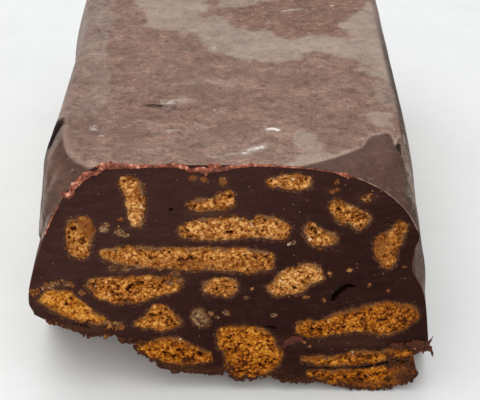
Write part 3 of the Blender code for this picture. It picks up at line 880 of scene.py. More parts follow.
def biscuit_relief(flat, within, seed):
    """Depth of a biscuit's broken face behind the cut."""
    lumps = 0.3 * noise_at(flat, 2.8, seed) + 0.26 * noise_at(flat, 1.1, seed + 3)
    lumps += 0.12 * noise_at(flat, 0.5, seed + 5)
    pores = 0.5 * pits_at(flat, 1.3, seed) * smooth(noise_at(flat, 3.0, seed + 7), -0.4, 0.2)
    middle = smooth(within, 0.0, 0.8)
    return SINK * (1 - middle) + middle * (pores - PROUD) - lumps * (0.35 + 0.65 * middle)


def fat_at(places):
    result = np.zeros(len(places))
    for x, height, reach in FAT:
        away = np.hypot(places[:, 0] - x, places[:, 2] - height)
        result = np.maximum(result, 0.85 * (1 - smooth(away, 0.0, reach)) * (places[:, 1] < FAT_BACK))
    return result


def biscuit_depth(name):
    low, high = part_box(name)
    return ((high.y - low.y) if name in BISCUITS else (high.z - low.z)) / MM


def make_biscuit(name, seed):
    outline, in_cut = outlines[name], name in BISCUITS
    tone, lighter, _ = BISCUITS.get(name, (UNDERSIDE_TONE, 0.0, ()))
    plane, low = (IN_CUT, 0.0) if in_cut else (IN_BASE, UNDERSIDE_FACE)
    shell = Shell()
    grid = grid_inside(outline, BISCUIT_STEP, 0.6 * BISCUIT_STEP)
    flat = np.concatenate((outline, grid))
    within = np.concatenate((np.zeros(len(outline)), inside(grid, outline)))
    deep, dark = fissured(flat) if in_cut else np.zeros((2, len(flat)))
    front = shell.add_flat(flat, low + biscuit_relief(flat, within, seed) + deep, plane)
    border, inner = front[: len(outline)], front[len(outline) :]
    shell.fill([border], plane, inner)
    rings = [border]
    for share, scale in DEPTH_STEPS:
        shrunk = scaled(outline, scale if in_cut else 1.0)
        rings.append(shell.add_flat(shrunk, low + biscuit_depth(name) * share, plane))
    shell.loft(rings)
    shell.fill([rings[-1]], plane)
    places = np.array(shell.points)
    spare = np.zeros(len(places) - len(flat))
    attributes = {
        "rim": np.concatenate((within, spare)),
        "tone": np.full(len(places), tone),
        "smear": blots(places, SMEARS) * (places[:, 1] < SMEARS_BACK),
        "fat": fat_at(places),
        "hole": np.concatenate((dark, spare)) - lighter,
        "dull": np.full(len(places), 0.9 if name == "biscuit_dull_chip" else 0.0),
    }
    shell.make(name + "_crumb", [CRUMB], "biscuit", attributes, [name])


outlines = {}
for number, (name, (_, _, bumps)) in enumerate(BISCUITS.items()):
    outlines[name] = bumped(broken(node_outline(name, 1), number + 1), bumps)
for number, name in enumerate(UNDERSIDE):
    outlines[name] = broken(node_outline(name, 2), number + 31)
for number, name in enumerate(outlines):
    make_biscuit(name, number + 1)

# ---------------------------------------------------------------- the chocolate

FACE_STEP = 0.48
FINE_STEP = 0.2  # beside the cut's hollows and cracks
EDGE_STEP = 0.45
BASE_STEPS = (0.9, 2.2)  # near the cut, and beyond
BASE_FINE_BACK = 12.0
END_STEP = 2.4
CHAMFER = ((0.0, 0.28), (0.08, 0.08), (0.3, 0.0))  # (back, inset) of the first rings at the cut's edge
CHAMFER_SKIN = 29.0  # above this height the chamfer's last ring is skin

# How finely the skin is divided: up to this far back, (step along, step round)
SKIN_STEPS = ((2.0, 0.4, 0.55), (29.0, 0.6, 0.62), (46.0, 0.85, 0.8), (120.0, 1.5, 1.2), (172.0, 3.0, 2.0))
END_STEPS = 14
COARSE_STEP = SKIN_STEPS[-1][2]

# Pockets: (growth of the biscuit's outline, depth) of the lip round it, in front of its border
POCKET_LIP = ((0.35, 0.0), (0.05, 0.1), (-0.3, 0.5), (GAP, 2.2))
# Hollows and cracks in the cut chocolate: depth, width, and points as (x, height)
DENTS = (
    (-0.3, 0.28, ((28.3, 31.3), (29.6, 32.4), (31.2, 33.9), (33.6, 35.4))),
    (1.0, 0.42, ((-15.6, 61.2), (-15.3, 61.3))),
    (0.3, 0.22, ((37.2, 55.6), (38.2, 57.0), (41.0, 57.9), (43.6, 57.3))),
    (0.35, 0.25, ((16.4, 15.6), (17.2, 16.4), (18.2, 17.4))),
    (0.8, 0.35, ((9.9, 22.6), (11.5, 22.9), (12.6, 22.4))),
    (1.6, 0.42, ((27.0, 8.0), (31.0, 7.6), (35.0, 7.9), (39.0, 8.6), (43.0, 9.6), (46.0, 10.5))),
    (0.5, 0.4, ((-52.0, 35.8), (-50.9, 36.1))),
    (0.5, 0.35, ((-36.0, 22.6), (-33.6, 22.2), (-30.8, 22.3))),
    (0.5, 0.3, ((16.0, 7.2), (18.0, 6.2), (19.6, 7.4))),
    (0.4, 0.25, ((-19.6, 41.4), (-15.5, 41.6), (-12.6, 40.2))),
)
# Hollows by their outlines: depth, and points as (x, height)
HOLLOWS_IN_CUT = (
    (1.8, ((28.0, 31.9), (28.2, 33.6), (29.0, 35.2), (30.1, 36.7), (31.7, 37.6), (33.2, 37.7), (34.2, 37.2),
     (35.0, 36.6), (33.9, 36.3), (32.8, 36.3), (31.4, 35.2), (30.3, 34.1), (29.4, 32.7), (28.7, 31.7))),
    (0.5, ((9.6, 22.2), (11.0, 23.2), (12.8, 23.0), (13.4, 21.6), (12.0, 21.9))),
    (0.6, ((-45.0, 24.2), (-42.0, 24.0), (-38.5, 22.4), (-39.8, 21.6), (-43.4, 22.8))),
)


def skin_stations():
    """The stations behind the chamfer, each with its step round the loaf."""
    at, steps = [CHAMFER[-1][0]], []
    for end, along, around in SKIN_STEPS:
        start, count = at[-1], round((end - at[-1]) / along)
        at += [start + (end - start) * (i + 1) / count for i in range(count)]
        steps += [around] * count
    for i in range(1, END_STEPS + 1):
        at.append(TOP_LENGTH - END_CORNER_RADIUS * (1 - math.sin(math.pi / 2 * i / END_STEPS)))
        steps.append(COARSE_STEP)
    return zip(at[1:], steps)


def divided(runs, step, least=6):
    """Even points along the runs and each one's share of the whole, with each run's end as a point."""
    points, shares = [], []
    for number, run in enumerate(runs):
        count = max(least, round(length_of(run) / step))
        points.append(even(run, count)[:-1])
        shares.append((number + np.arange(count) / count) / len(runs))
    points.append(runs[-1][-1:])
    shares.append((1.0,))
    return np.concatenate(points), np.concatenate(shares)


def loaf_places(flat, back):
    """Places of a section's points: the far end leans out from its top edge to its base."""
    lean = END_LEAN * (1 - flat[:, 1] / HEIGHT) * (back / TOP_LENGTH) ** 3
    return np.stack((flat[:, 0], back + lean, flat[:, 1]), 1)


def torn_edge(flat, back, base_from):
    """The torn lower edge: its base points are jittered near the cut."""
    jittered = flat.copy()
    for i in range(base_from + 1, len(flat)):  # right to left, without turning back
        jittered[i, 0] = min(jittered[i, 0], jittered[i - 1, 0] - 0.03)
    base = jittered[base_from:].copy()
    place = np.stack((base[:, 0], np.full(len(base), back * 0.3)), 1)
    order = np.arange(len(base))
    end = np.minimum(1.0, np.minimum(order, order[::-1]) / 4)
    push = 0.55 * fade(back, 10.0, 1.0) * end * (noise_at(place, 1.6, 91) + 0.6 * noise_at(place, 0.6, 92))
    for name in BISCUITS:
        if name not in BARED:
            push = np.where(inside(base, outlines[name]) > -1.6, np.minimum(push, 0.0), push)
    jittered[base_from:, 1] += push
    return jittered


def add_edge(shell):
    """The cut's chamfered edge. Gives its first ring, and its last one from the lower left clockwise to
    the lower right, with its points' shares, and along its base."""
    rings = []
    for back, inset in CHAMFER:
        runs = loaf_runs(back)
        upper, shares = divided(runs[:5], EDGE_STEP)
        base, base_shares = divided(runs[5:], EDGE_STEP)
        split = len(upper) - 1
        flat = torn_edge(np.concatenate((upper[:-1], base[:-1])), back, split)
        ring = shell.add(loaf_places(flat - outward(flat) * inset, back))
        rings.append((ring, np.concatenate((shares[:-1] / 2, 0.5 + base_shares[:-1] / 2))))
    for near, far in zip(rings, rings[1:]):
        first = len(shell.faces)
        shell.join(near[0], far[0], near[1], far[1], closed=True, kind=1)
        heights = np.array(shell.points)[:, 2]
        for i in range(first, len(shell.faces)):
            if near is not rings[0] and heights[list(shell.faces[i])].min() > CHAMFER_SKIN:
                shell.kinds[i] = 0
    last = rings[-1][0]
    return rings[0][0], last[: split + 1], shares, last[split:] + last[:1]


def add_cut_face(shell, ring):
    """The cut face, with a pocket for each biscuit. Gives its border."""
    border = shell.seen(ring, IN_CUT)
    holes, rims = [], []
    for name in BISCUITS:
        outline = outlines[name]
        if name in BARED:
            rims += [outline + outward(outline) * grow for grow in (0.2, -0.25)]
            continue
        pocket = [shell.add_flat(outline + outward(outline) * grow, deep) for grow, deep in POCKET_LIP]
        for share, scale in DEPTH_STEPS:
            shrunk = scaled(outline, scale)
            pocket.append(shell.add_flat(shrunk + outward(shrunk) * GAP, share * (biscuit_depth(name) + GAP)))
        shell.loft(pocket, 1)
        shell.fill([pocket[-1]], IN_CUT, kind=1)
        holes.append(pocket[0])
    mouths = [shell.seen(hole, IN_CUT) for hole in holes]
    marks = [flow(line) for _, _, line in DENTS] + [np.array(line + line[:1]) for _, line in HOLLOWS_IN_CUT]
    grid = honeycomb(border.min(0), border.max(0), FACE_STEP)
    clear = inside(grid, border) > FACE_STEP * 0.6
    for mouth in mouths:
        clear &= inside(grid, mouth) < -FACE_STEP * 0.6
    for name in BARED:
        within = inside(grid, outlines[name])
        clear &= (within < -0.45) | (within > 0.5)
    clear &= np.minimum.reduce([to_line(grid, line) for line in marks]) > 1.0

    # more points where the chocolate steps back and beside the marks
    close = honeycomb(border.min(0), border.max(0), FINE_STEP)
    rims.append(close[np.minimum.reduce([to_line(close, line) for line in marks]) < 0.85])
    rim = np.concatenate(rims)
    taken = inside(rim, border) < FACE_STEP * 0.6
    for mouth in mouths:
        taken |= inside(rim, mouth) > -FACE_STEP * 0.5
    inner = shell.add_flat(np.concatenate((grid[clear], apart(rim[~taken], 0.16))), 0.0)
    shell.fill([ring] + holes, IN_CUT, inner, kind=1)
    return border


def add_skin(shell, near, near_shares):
    """The skin over top and walls, in open strips from the lower left to the lower right. Gives its last
    line of points, how far back it is, and the points along both lower sides."""
    left, right = [near[0]], [near[-1]]
    for back, step in skin_stations():
        upper, shares = divided(loaf_runs(back)[:5], step)
        far = shell.add(loaf_places(upper, back))
        shell.join(near, far, near_shares, shares)
        near, near_shares = far, shares
        left.append(far[0])
        right.append(far[-1])
    return near, back, left, right


def base_heights(places):
    """The underside's height at places seen from below."""
    stations = np.round(places[:, 1], 2)
    result = np.zeros(len(places))
    for back in np.unique(stations):
        line = base_run(back, end_inset(back, END_CORNER_RADIUS))
        here = stations == back
        result[here] = np.interp(places[here, 0], line[:, 0], line[:, 1])
    return result


def add_underside(shell, ring):
    """The underside, with its pockets."""
    outline = shell.seen(ring, IN_BASE)
    coarse = honeycomb(outline.min(0), outline.max(0), BASE_STEPS[1])
    fine = honeycomb((outline[:, 0].min(), 0.0), (outline[:, 0].max(), BASE_FINE_BACK), BASE_STEPS[0])
    grid = np.concatenate((fine, coarse[coarse[:, 1] > BASE_FINE_BACK + 0.5]))
    clear = inside(grid, outline) > 0.7
    holes = []
    for name in UNDERSIDE:
        mouth = outlines[name] + outward(outlines[name]) * GAP
        clear &= inside(grid, mouth) < -0.7
        pocket = [shell.add_flat(mouth, base_heights(mouth), IN_BASE)]
        for share in (0.2, 0.6, 1.0):
            deep = UNDERSIDE_FACE + (biscuit_depth(name) + GAP) * share
            pocket.append(shell.add_flat(mouth, deep, IN_BASE))
        shell.loft(pocket)
        shell.fill([pocket[-1]], IN_BASE)
        holes.append(pocket[0])
    grid = grid[clear]
    inner = shell.add_flat(grid, base_heights(grid), IN_BASE)
    shell.fill([ring] + holes, IN_BASE, inner)


def make_loaf():
    shell = Shell()
    first, near, shares, front_base = add_edge(shell)
    border = add_cut_face(shell, first)
    near, back, left, right = add_skin(shell, near, shares)

    # the far end's wall
    base, _ = divided(loaf_runs(back)[5:], COARSE_STEP)
    far_base = shell.add(loaf_places(base[1:-1], back))
    ring = near + far_base
    inner = shell.add(loaf_places(grid_inside(shell.seen(ring, IN_CUT), END_STEP, 1.4), back))
    shell.fill([ring], IN_CUT, inner)
    add_underside(shell, front_base[:-1] + left[:-1] + near[:1] + far_base[::-1] + right[:0:-1])
    return shell, border


def dented(flat):
    depth = np.zeros(len(flat))
    for reach, outline in HOLLOWS_IN_CUT:
        within = inside(flat, np.array(outline, float), margin=2.0)
        near = within > -0.5
        within[near] += 0.16 * noise_at(flat[near], 0.7, 83)
        depth += reach * smooth(within, -0.12, 0.5)
    for reach, width, near, line in lines_near(DENTS, flat, reach=13):
        depth[near] += reach * beside(flat[near], line, width)
    return depth


# ---------------------------------------------------------------- the skin, and what marks the chocolate

# Lines of the film that are both creases and lines of painted highlight
RIGHT_FOLD = ((47.0, 16.5, 70.6), (47.6, 13.0, 69.0), (48.4, 9.8, 67.2), (49.4, 8.2, 63.9))
RIGHT_BRIM = ((47.0, 28.7, 73.4), (47.1, 34.2, 73.8), (47.3, 40.2, 74.0), (47.2, 52.0, 73.8),
              (47.2, 66.0, 73.8))
LEFT_BRIM = ((-45.7, 21.1, 74.9), (-45.8, 18.1, 74.7), (-46.3, 14.0, 74.3), (-47.3, 10.8, 73.3),
             (-48.0, 8.5, 71.9))
LEFT_FOLD = ((-45.7, 3.7, 69.7), (-46.3, 3.3, 68.4), (-47.4, 3.3, 66.5), (-48.4, 3.0, 64.0),
             (-49.5, 2.9, 61.3), (-50.0, 2.6, 59.6))
LEFT_SECOND_FOLD = ((-47.9, 7.5, 71.3), (-48.6, 5.8, 68.5), (-49.1, 4.4, 65.4), (-49.8, 3.2, 61.2))
LEFT_LOWER_FOLD = ((-48.4, 0.9, 57.7), (-49.1, 0.7, 54.7), (-49.9, 0.6, 51.3))
# Creases and folds that the film left in the skin: depth (+ is a groove), width, and points. Here and
# below, points of (x, back) lie on the top.
CREASES = (
    (0.5, 0.6, ((44.9, 15.4, 72.1), (45.6, 16.8, 71.8), (46.1, 18.3, 72.2))),
    (0.5, 0.45, ((46.2, 14.4, 70.3), (46.9, 12.1, 68.9), (47.8, 8.7, 67.3), (48.8, 7.3, 63.9),
     (49.2, 5.2, 61.6))),
    (-0.5, 0.4, ((47.1, 24.1, 72.7), (46.6, 21.0, 72.6), (45.3, 18.6, 72.4))),
    (-0.5, 0.5, RIGHT_FOLD),
    (0.5, 0.35, ((43.1, 20.2, 74.0), (44.1, 18.2, 73.3), (44.8, 17.6, 72.4))),
    (-0.25, 0.5, RIGHT_BRIM),
    (0.4, 0.4, ((47.5, 28.5, 73.0), (47.7, 35.1, 73.4), (47.9, 41.6, 73.3), (47.9, 52.0, 73.3),
     (47.9, 66.0, 73.3))),
    (0.7, 0.5, ((-24.9, 34.4), (-22.8, 34.3), (-20.0, 33.2), (-16.6, 32.6), (-12.0, 31.6))),
    (0.8, 0.8, ((-46.6, 25.6, 74.2), (-47.4, 21.0, 73.7), (-48.3, 16.5, 73.0), (-48.8, 13.8, 72.4))),
    (-0.4, 0.6, LEFT_BRIM),
    (0.35, 0.8, ((-44.4, 14.0, 74.9), (-43.4, 9.5, 74.6), (-42.0, 6.2, 74.3), (-39.8, 3.4, 73.8))),
    (-0.3, 0.6, ((-38.5, 42.0), (-38.0, 56.0), (-39.3, 72.0), (-39.6, 90.0))),
    (-0.4, 0.35, LEFT_FOLD),
    (-0.3, 0.35, LEFT_SECOND_FOLD),
    (0.4, 0.45, ((-47.2, 5.0, 69.5), (-48.2, 4.4, 66.5), (-49.2, 3.6, 63.0), (-49.8, 2.6, 60.0))),
    (-0.3, 0.35, LEFT_LOWER_FOLD),
    (0.4, 0.6, ((-40.0, 8.0), (-34.0, 12.0), (-27.0, 13.0), (-20.0, 11.0))),
    (-0.4, 0.8, ((-36.0, 14.5), (-28.0, 17.0), (-20.0, 15.0), (-14.0, 17.5))),
    (0.4, 0.7, ((-30.0, 22.0), (-22.0, 20.5), (-15.0, 22.0), (-9.0, 20.0))),
    (-0.4, 0.7, ((-33.0, 27.0), (-24.0, 29.0), (-16.0, 27.0), (-6.0, 29.0))),
    (0.3, 0.6, ((-14.0, 13.0), (-8.0, 15.0), (-2.0, 13.5))),
    (0.35, 0.5, ((-25.0, 8.0), (-20.9, 7.3), (-15.9, 10.9))),
    (0.4, 0.6, ((-24.5, 15.0), (-22.3, 16.5), (-19.1, 19.5), (-15.0, 21.0))),
    (0.4, 0.5, ((-12.0, 26.5), (-9.8, 25.9), (-7.0, 23.0), (-4.2, 23.9))),
    (-0.4, 0.6, ((-12.0, 28.6), (-8.0, 27.9), (-5.0, 25.5))),
)
# Patches where fat has bloomed on the top, by their outlines as (x, back)
BLOOM = (
    ((-38, 122), (-31, 108), (-29, 100), (-26.5, 91), (-20, 88), (-14, 86.5), (-12, 82), (-9, 76), (-5, 71),
     (0, 68), (4, 65.5), (10, 64), (16, 65), (19.5, 66.5), (21, 69.5), (25, 71.5), (28, 70.5), (32, 67),
     (36, 65), (40, 62), (44, 59.5), (50, 58), (51, 90), (47, 112), (43, 108), (41, 104), (39, 100),
     (36, 97), (34.5, 94), (36, 90), (37.5, 86), (36, 81), (33, 83), (30, 84.5), (24, 83), (17, 81.5),
     (13, 82.5), (11.5, 87.5), (8, 89.5), (5.5, 88), (3, 90.5), (-1, 93), (-3, 97), (-5, 100), (-10, 101),
     (-9, 106), (-10, 118), (-8, 130), (-20, 140), (-34, 136)),
    ((-6, 120), (-4, 110), (-1.5, 106.5), (3, 107.5), (8, 111), (15, 117), (8, 124)),
    ((37, 58.5), (42, 61), (50, 60), (50, 51), (43, 54), (40, 56)),
    ((37.5, 29), (41, 30.5), (45, 30), (44.8, 25), (42.5, 22.5), (40, 23), (39, 26)),
    ((17, 13), (18, 18.5), (20.5, 19.5), (23, 17), (24, 12), (24.5, 9.5), (28, 8), (33, 9), (38, 14),
     (40.5, 13), (36, 7), (30, 2), (26, -3), (13, -3), (17, 3), (19, 8)),
    ((-30, 150), (-10, 146), (14, 152), (30, 147), (40, 156), (24, 166), (2, 162), (-18, 170), (-34, 164)),
)
# Thinly veiled patches, and redder ones
VEIL = (
    ((-56, 22), (-47, 25), (-42, 26), (-38, 29), (-36.2, 35), (-35.9, 45.4), (-36.9, 55), (-38.4, 65),
     (-39.9, 75.5), (-39.3, 93), (-40.1, 103), (-40, 120), (-40, 150), (-44, 176), (-56, 176)),
    ((41.5, 50), (44, 52), (52, 50), (52, 33), (43, 35), (41.5, 42)),
)
REDDER = (
    ((0, 122), (1, 108), (-1, 103), (0, 97), (3, 92), (8, 90), (13, 88), (15, 84), (20, 83.5), (30, 86),
     (35, 84), (36, 88), (34, 94), (38, 100), (42, 107), (45, 118), (42, 136), (22, 142), (4, 134)),
)
# Where the film bridged the tin's corners, by outlines as (x, back); the material paints shade on these
# facets
FACETS = (
    ((-28, -3), (-33, -0.8), (-36.1, 0.5), (-38.2, 2.0), (-40.4, 4.2), (-42.6, 7.2), (-44.0, 10.7),
     (-44.9, 14.9), (-45.4, 19.9), (-45.6, 25.0), (-48, 28.0), (-62, 29), (-62, -3)),
    ((14, -3), (20, 1.0), (27, 5), (34.6, 10.6), (36.8, 14.5), (38.8, 17.6), (40.7, 18.5), (43.2, 20.4),
     (44.1, 18.2), (44.9, 16.6), (45.9, 14.0), (46.9, 12.1), (47.8, 8.7), (48.8, 6.9), (49.4, 4.5),
     (50.5, 1.0), (51.5, -3)),
)
# Painted shade in the deep folds of the film: half width and points
FOLDS = (
    (0.45, ((46.2, 19.0, 72.4), (45.8, 17.6, 72.0))),
    (0.8, ((45.8, 17.2, 71.9), (45.5, 16.0, 71.7))),
    (0.95, ((45.5, 16.0, 71.7), (45.6, 15.0, 71.4))),
    (0.6, ((45.8, 14.8, 71.2), (46.1, 13.8, 70.7))),
    (0.35, ((46.1, 13.8, 70.7), (46.7, 12.2, 69.5))),
    (0.2, ((46.9, 28.0, 73.4), (47.1, 24.2, 73.0), (47.0, 21.0, 72.5))),
    (0.5, ((-24.7, 34.6), (-22.2, 34.7), (-19.3, 34.0))),
    (0.32, ((-19.3, 34.0), (-16.5, 33.2), (-13.6, 31.9))),
    (0.16, ((43.3, 20.2, 74.0), (44.1, 18.2, 73.3), (44.9, 17.2, 72.3))),
    (0.12, ((46.9, 12.1, 68.9), (47.8, 8.7, 67.3), (48.8, 7.3, 63.9))),
    (0.22, ((46.6, 28.5, 73.5), (46.8, 35.1, 73.9), (46.9, 41.6, 74.0), (46.9, 56.0, 74.0),
     (46.9, 70.0, 74.0), (46.9, 90.0, 74.0))),
)
# Pale scuffs on the top: x, back, half length, half width, turn in degrees, strength
SCUFFS = (
    (-4.8, 31.0, 1.3, 1.0, 40, 0.7), (-18.0, 33.4, 3.6, 0.8, -8, 0.8), (-17.0, 36.2, 4.2, 2.6, 12, 0.7),
    (-12.8, 37.6, 1.8, 1.3, 30, 0.7), (-37.0, 20.0, 3.2, 2.6, 30, 0.75), (-34.5, 15.5, 2.0, 1.4, 30, 0.7),
    (-3.5, 50.0, 3.4, 1.0, 5, 0.7), (19.0, 105.5, 6.0, 1.4, 8, 0.95), (27.0, 107.0, 2.6, 1.0, 0, 0.8),
    (11.5, 96.5, 0.9, 1.4, 0, 0.9), (32.5, 109.5, 0.9, 1.6, 0, 1.1), (-16.5, 19.0, 2.0, 1.2, 0, 0.75),
    (16.6, 72.0, 0.7, 1.2, 0, 0.9), (27.0, 43.5, 0.9, 0.7, 0, 0.8), (-6.5, 74.0, 3.6, 3.0, 25, 0.6),
)
# Painted shade: darker places in the skin, inside folds: x, back, height, reach, strength
SHADES = (
    (-22.6, 34.3, 75.0, (2.2, 0.8, 2.0), 0.9), (-18.2, 33.5, 75.0, (2.6, 0.75, 2.0), 0.75),
    (-14.0, 32.2, 75.0, (2.4, 0.6, 2.0), 0.55), (-42.6, 19.8, 75.0, (0.7, 1.4, 2.0), 0.5),
    (-41.7, 16.2, 75.0, (0.6, 1.3, 2.0), 0.45), (-46.4, 1.8, 63.6, (1.3, 2.6, 2.4), 0.6),
    (-40.5, 19.0, 75.0, (6.0, 10.0, 3.0), 0.34), (-21.0, 10.5, 75.0, (4.5, 1.0, 2.0), 0.25),
    (-20.5, 17.5, 75.0, (3.5, 0.8, 2.0), 0.3), (-8.5, 24.8, 75.0, (3.5, 0.7, 2.0), 0.35),
    (-13.0, 29.5, 75.0, (4.0, 0.7, 2.0), 0.3), (52.0, 3.0, 44.0, (3.0, 9.0, 14.0), 0.5),
)
# Painted shade on the side of the fold along the left wall's upper edge that turns from the light, by its
# outline as (back, height)
SHADED_FOLD_SIDE = (
    (29.0, 72.8), (27.6, 73.6), (26.0, 74.5), (24.5, 74.8), (22.2, 74.75), (20.0, 74.5), (18.0, 73.9),
    (15.5, 73.3), (13.4, 72.7), (12.0, 71.6), (17.5, 71.0), (20.7, 71.2), (24.8, 71.8), (28.0, 72.0),
)
# Pale lines of painted highlight where the film was stretched over an edge or rubbed, and painted glints on
# the top: strength, width, and points
PAINTED_HIGHLIGHTS = (
    (0.5, 0.8, LEFT_BRIM),
    (0.3, 0.5, ((-36.2, 35.0), (-35.9, 45.4), (-36.9, 55.0), (-38.4, 65.0), (-39.9, 75.5), (-39.3, 93.0),
     (-40.1, 103.0))),
    (0.75, 0.4, LEFT_FOLD),
    (0.5, 0.45, LEFT_SECOND_FOLD),
    (0.6, 0.35, LEFT_LOWER_FOLD),
    (0.5, 0.4, ((-50.0, 2.6, 57.7), (-50.4, 2.4, 54.6), (-50.3, 0.8, 52.3))),
    (0.5, 0.35, ((37.8, 17.2, 74.7), (40.7, 18.7, 74.3), (43.2, 20.6, 74.0))),
    (0.9, 0.35, ((44.5, 16.3, 72.6), (45.1, 18.0, 72.6), (45.7, 19.2, 72.9), (46.3, 20.4, 72.9))),
    (0.6, 0.4, ((47.6, 22.5, 71.9), (47.6, 17.5, 71.0), (47.7, 14.4, 70.1), (48.6, 11.2, 66.7),
     (49.2, 7.6, 63.2))),
    (0.6, 0.3, RIGHT_FOLD),
    (0.45, 0.4, RIGHT_BRIM),
    (0.4, 1.0, ((-12.2, 49.6), (-7.0, 50.3), (-3.4, 48.3), (0.1, 47.0))),
    (0.25, 0.7, ((-25.0, 25.2), (-20.4, 22.8), (-16.9, 19.9), (-13.6, 19.3))),
    (0.25, 0.8, ((-12.4, 17.0), (-9.3, 20.5), (-6.2, 25.3), (-3.0, 30.2))),
    (0.25, 0.7, ((-24.6, 6.8), (-21.0, 8.5), (-18.6, 11.3), (-15.5, 13.5))),
    (0.5, 0.7, ((-5.9, 5.3), (-3.5, 4.2), (0.2, 5.7), (3.8, 6.5))),
    (0.92, 1.4, ((3.8, 6.5), (5.9, 8.1), (8.6, 9.8))),
    (1.2, 0.85, ((10.2, 19.9), (11.6, 20.3), (13.0, 19.5))),
    (0.45, 1.6, ((-18.0, 34.9), (-15.5, 36.4), (-12.9, 37.6))),
)
# Crumbs in the cut: x, height, reach across and up, turn in degrees, tone, smear
CRUMBS = (
    (-33.4, 55.2, 1.3, 1.0, 20, 0.0, 0.1), (-33.0, 56.8, 0.7, 0.7, 0, 0.0, 0.35),
    (-29.4, 54.4, 1.3, 1.2, -20, 0.0, 0.3), (-28.0, 53.3, 0.8, 0.6, 0, 0.0, 0.3),
    (-28.8, 58.4, 0.9, 0.4, 0, 0.2, 0.75), (-1.5, 70.0, 1.0, 1.5, -15, 0.0, 1.1),
    (36.3, 65.2, 2.1, 1.2, 30, 0.45, 0.3), (-33.6, 23.4, 1.6, 1.3, 15, 0.5, 0.35),
    (-31.0, 22.8, 1.5, 1.1, -10, 0.5, 0.35), (-53.8, 34.6, 1.6, 1.3, 10, 0.4, 0.35),
    (-48.2, 37.0, 1.9, 0.9, 25, 0.1, 0.5), (-44.6, 37.3, 1.7, 0.8, -10, 0.1, 0.55),
    (27.5, 67.6, 1.5, 0.5, 10, 0.3, 0.75), (28.2, 70.1, 0.5, 0.9, 0, 0.2, 0.7),
    (-1.0, 28.0, 0.8, 0.8, 0, 0.0, 0.3), (-3.5, 26.2, 0.4, 0.4, 0, 0.1, 0.2),
    (-5.3, 27.6, 0.5, 0.4, 0, 0.1, 0.3), (12.3, 27.0, 0.65, 0.6, 0, 0.0, 0.1),
    (21.0, 33.2, 0.8, 0.45, -10, 0.2, 0.2), (26.0, 32.3, 0.45, 0.7, 0, 0.2, 0.3),
    (4.5, 33.0, 0.4, 0.4, 0, 0.0, 0.0), (27.3, 41.2, 0.45, 0.95, 10, 0.2, 0.4),
    (32.8, 42.4, 1.0, 0.55, -5, 0.3, 0.25), (38.3, 37.3, 0.4, 0.65, -25, 0.2, 0.4),
    (17.3, 51.2, 0.4, 0.4, 0, 0.0, 0.0), (16.2, 50.8, 0.3, 0.3, 0, 0.0, 0.0),
    (43.5, 35.5, 0.5, 0.35, 0, 0.3, 0.7), (47.5, 43.5, 0.6, 0.3, 0, 0.3, 0.7),
    (6.0, 36.0, 0.4, 0.3, 0, 0.2, 0.5), (-9.4, 71.0, 1.0, 0.9, 0, 0.0, 1.5),
    (-6.5, 70.6, 0.9, 0.8, 0, 0.0, 1.5), (-24.5, 43.3, 1.1, 0.9, 10, 0.0, 0.5),
    (-28.5, 42.3, 1.3, 0.8, 10, 0.0, 0.5), (-31.8, 42.6, 0.9, 0.7, 0, 0.0, 0.5),
    (-14.8, 40.6, 1.3, 1.1, 30, 0.0, 0.55), (-13.6, 38.4, 1.0, 0.8, 0, 0.0, 0.6),
    (-16.6, 38.0, 0.9, 0.7, 0, 0.1, 0.5), (-40.8, 34.6, 0.7, 0.9, 0, 0.1, 0.6),
    (-34.6, 24.4, 1.2, 0.5, -10, 0.1, 0.5), (-31.2, 23.9, 1.2, 0.45, -8, 0.1, 0.5),
    (4.6, 33.0, 0.35, 0.35, 0, 0.0, 0.0), (21.0, 17.6, 0.7, 0.3, -45, 0.2, 0.4),
    (22.6, 16.0, 0.5, 0.3, -40, 0.2, 0.4), (-50.5, 36.6, 1.6, 0.7, 35, 0.1, 0.6),
    (-35.0, 19.2, 0.8, 0.8, 0, 0.7, 0.7), (17.2, 18.0, 1.3, 0.8, 20, 0.5, 0.8),
    (27.0, 67.0, 0.6, 0.5, 0, 0.6, 0.6),
)
# Crumb-stained places in the cut chocolate: x, height, reach across, reach up, strength
STAINS = (
    (-5.0, 60.2, 6.0, 0.9, 0.7), (-28.0, 42.5, 5.0, 1.6, 0.6), (-14.5, 40.0, 2.8, 2.4, 0.7),
    (-46.5, 37.0, 3.5, 1.2, 0.45), (-53.8, 34.5, 1.9, 1.6, 0.55), (35.0, 19.0, 6.0, 2.2, 0.3),
    (-14.0, 7.4, 12.0, 1.6, 0.6), (4.0, 7.0, 12.0, 2.0, 0.6), (-44.0, 22.0, 12.0, 1.8, 0.5),
    (32.0, 4.0, 18.0, 2.0, 0.55), (-1.5, 70.0, 1.2, 1.8, 0.5), (-7.0, 70.5, 2.6, 1.2, 0.25),
    (33.0, 17.6, 12.0, 1.7, 0.35), (17.2, 17.8, 2.6, 1.7, 0.6), (-32.5, 24.0, 3.0, 0.9, 0.5),
    (-50.0, 36.6, 3.0, 1.2, 0.5),
)
FAR = 6.0  # the distance outside a patch at which it stops counting
TOP_MARKS_FROM = 55.0  # height above which the top's patches and scuffs count
FACETS_FROM = 30.0


def patch_distance(flat, patches):
    return np.maximum.reduce([inside(flat, flow(patch, closed=True), margin=FAR) for patch in patches])


def marked_cut(places, cut, border):
    """Sinks the cut's hollows, and gives their painted shade."""
    front = np.flatnonzero(cut & (places[:, 1] < 0.5))
    for name in BARED:
        within = inside(places[front][:, IN_CUT], outlines[name])
        places[front, 1] = np.maximum(places[front, 1], STEP_BACK * smooth(within, -0.1, 0.3))
    level = front[places[front, 1] < 0.02]
    flat = places[level][:, IN_CUT]
    dents = dented(flat) * (1 - smooth(-inside(flat, border, margin=FAR), -1.2, -0.6))
    places[level, 1] += dents
    # painted shade, deeper where the hollows are deeper
    dark = np.zeros(len(places))
    dark[level] = smooth(dents, 0.15, 0.9)
    return dark


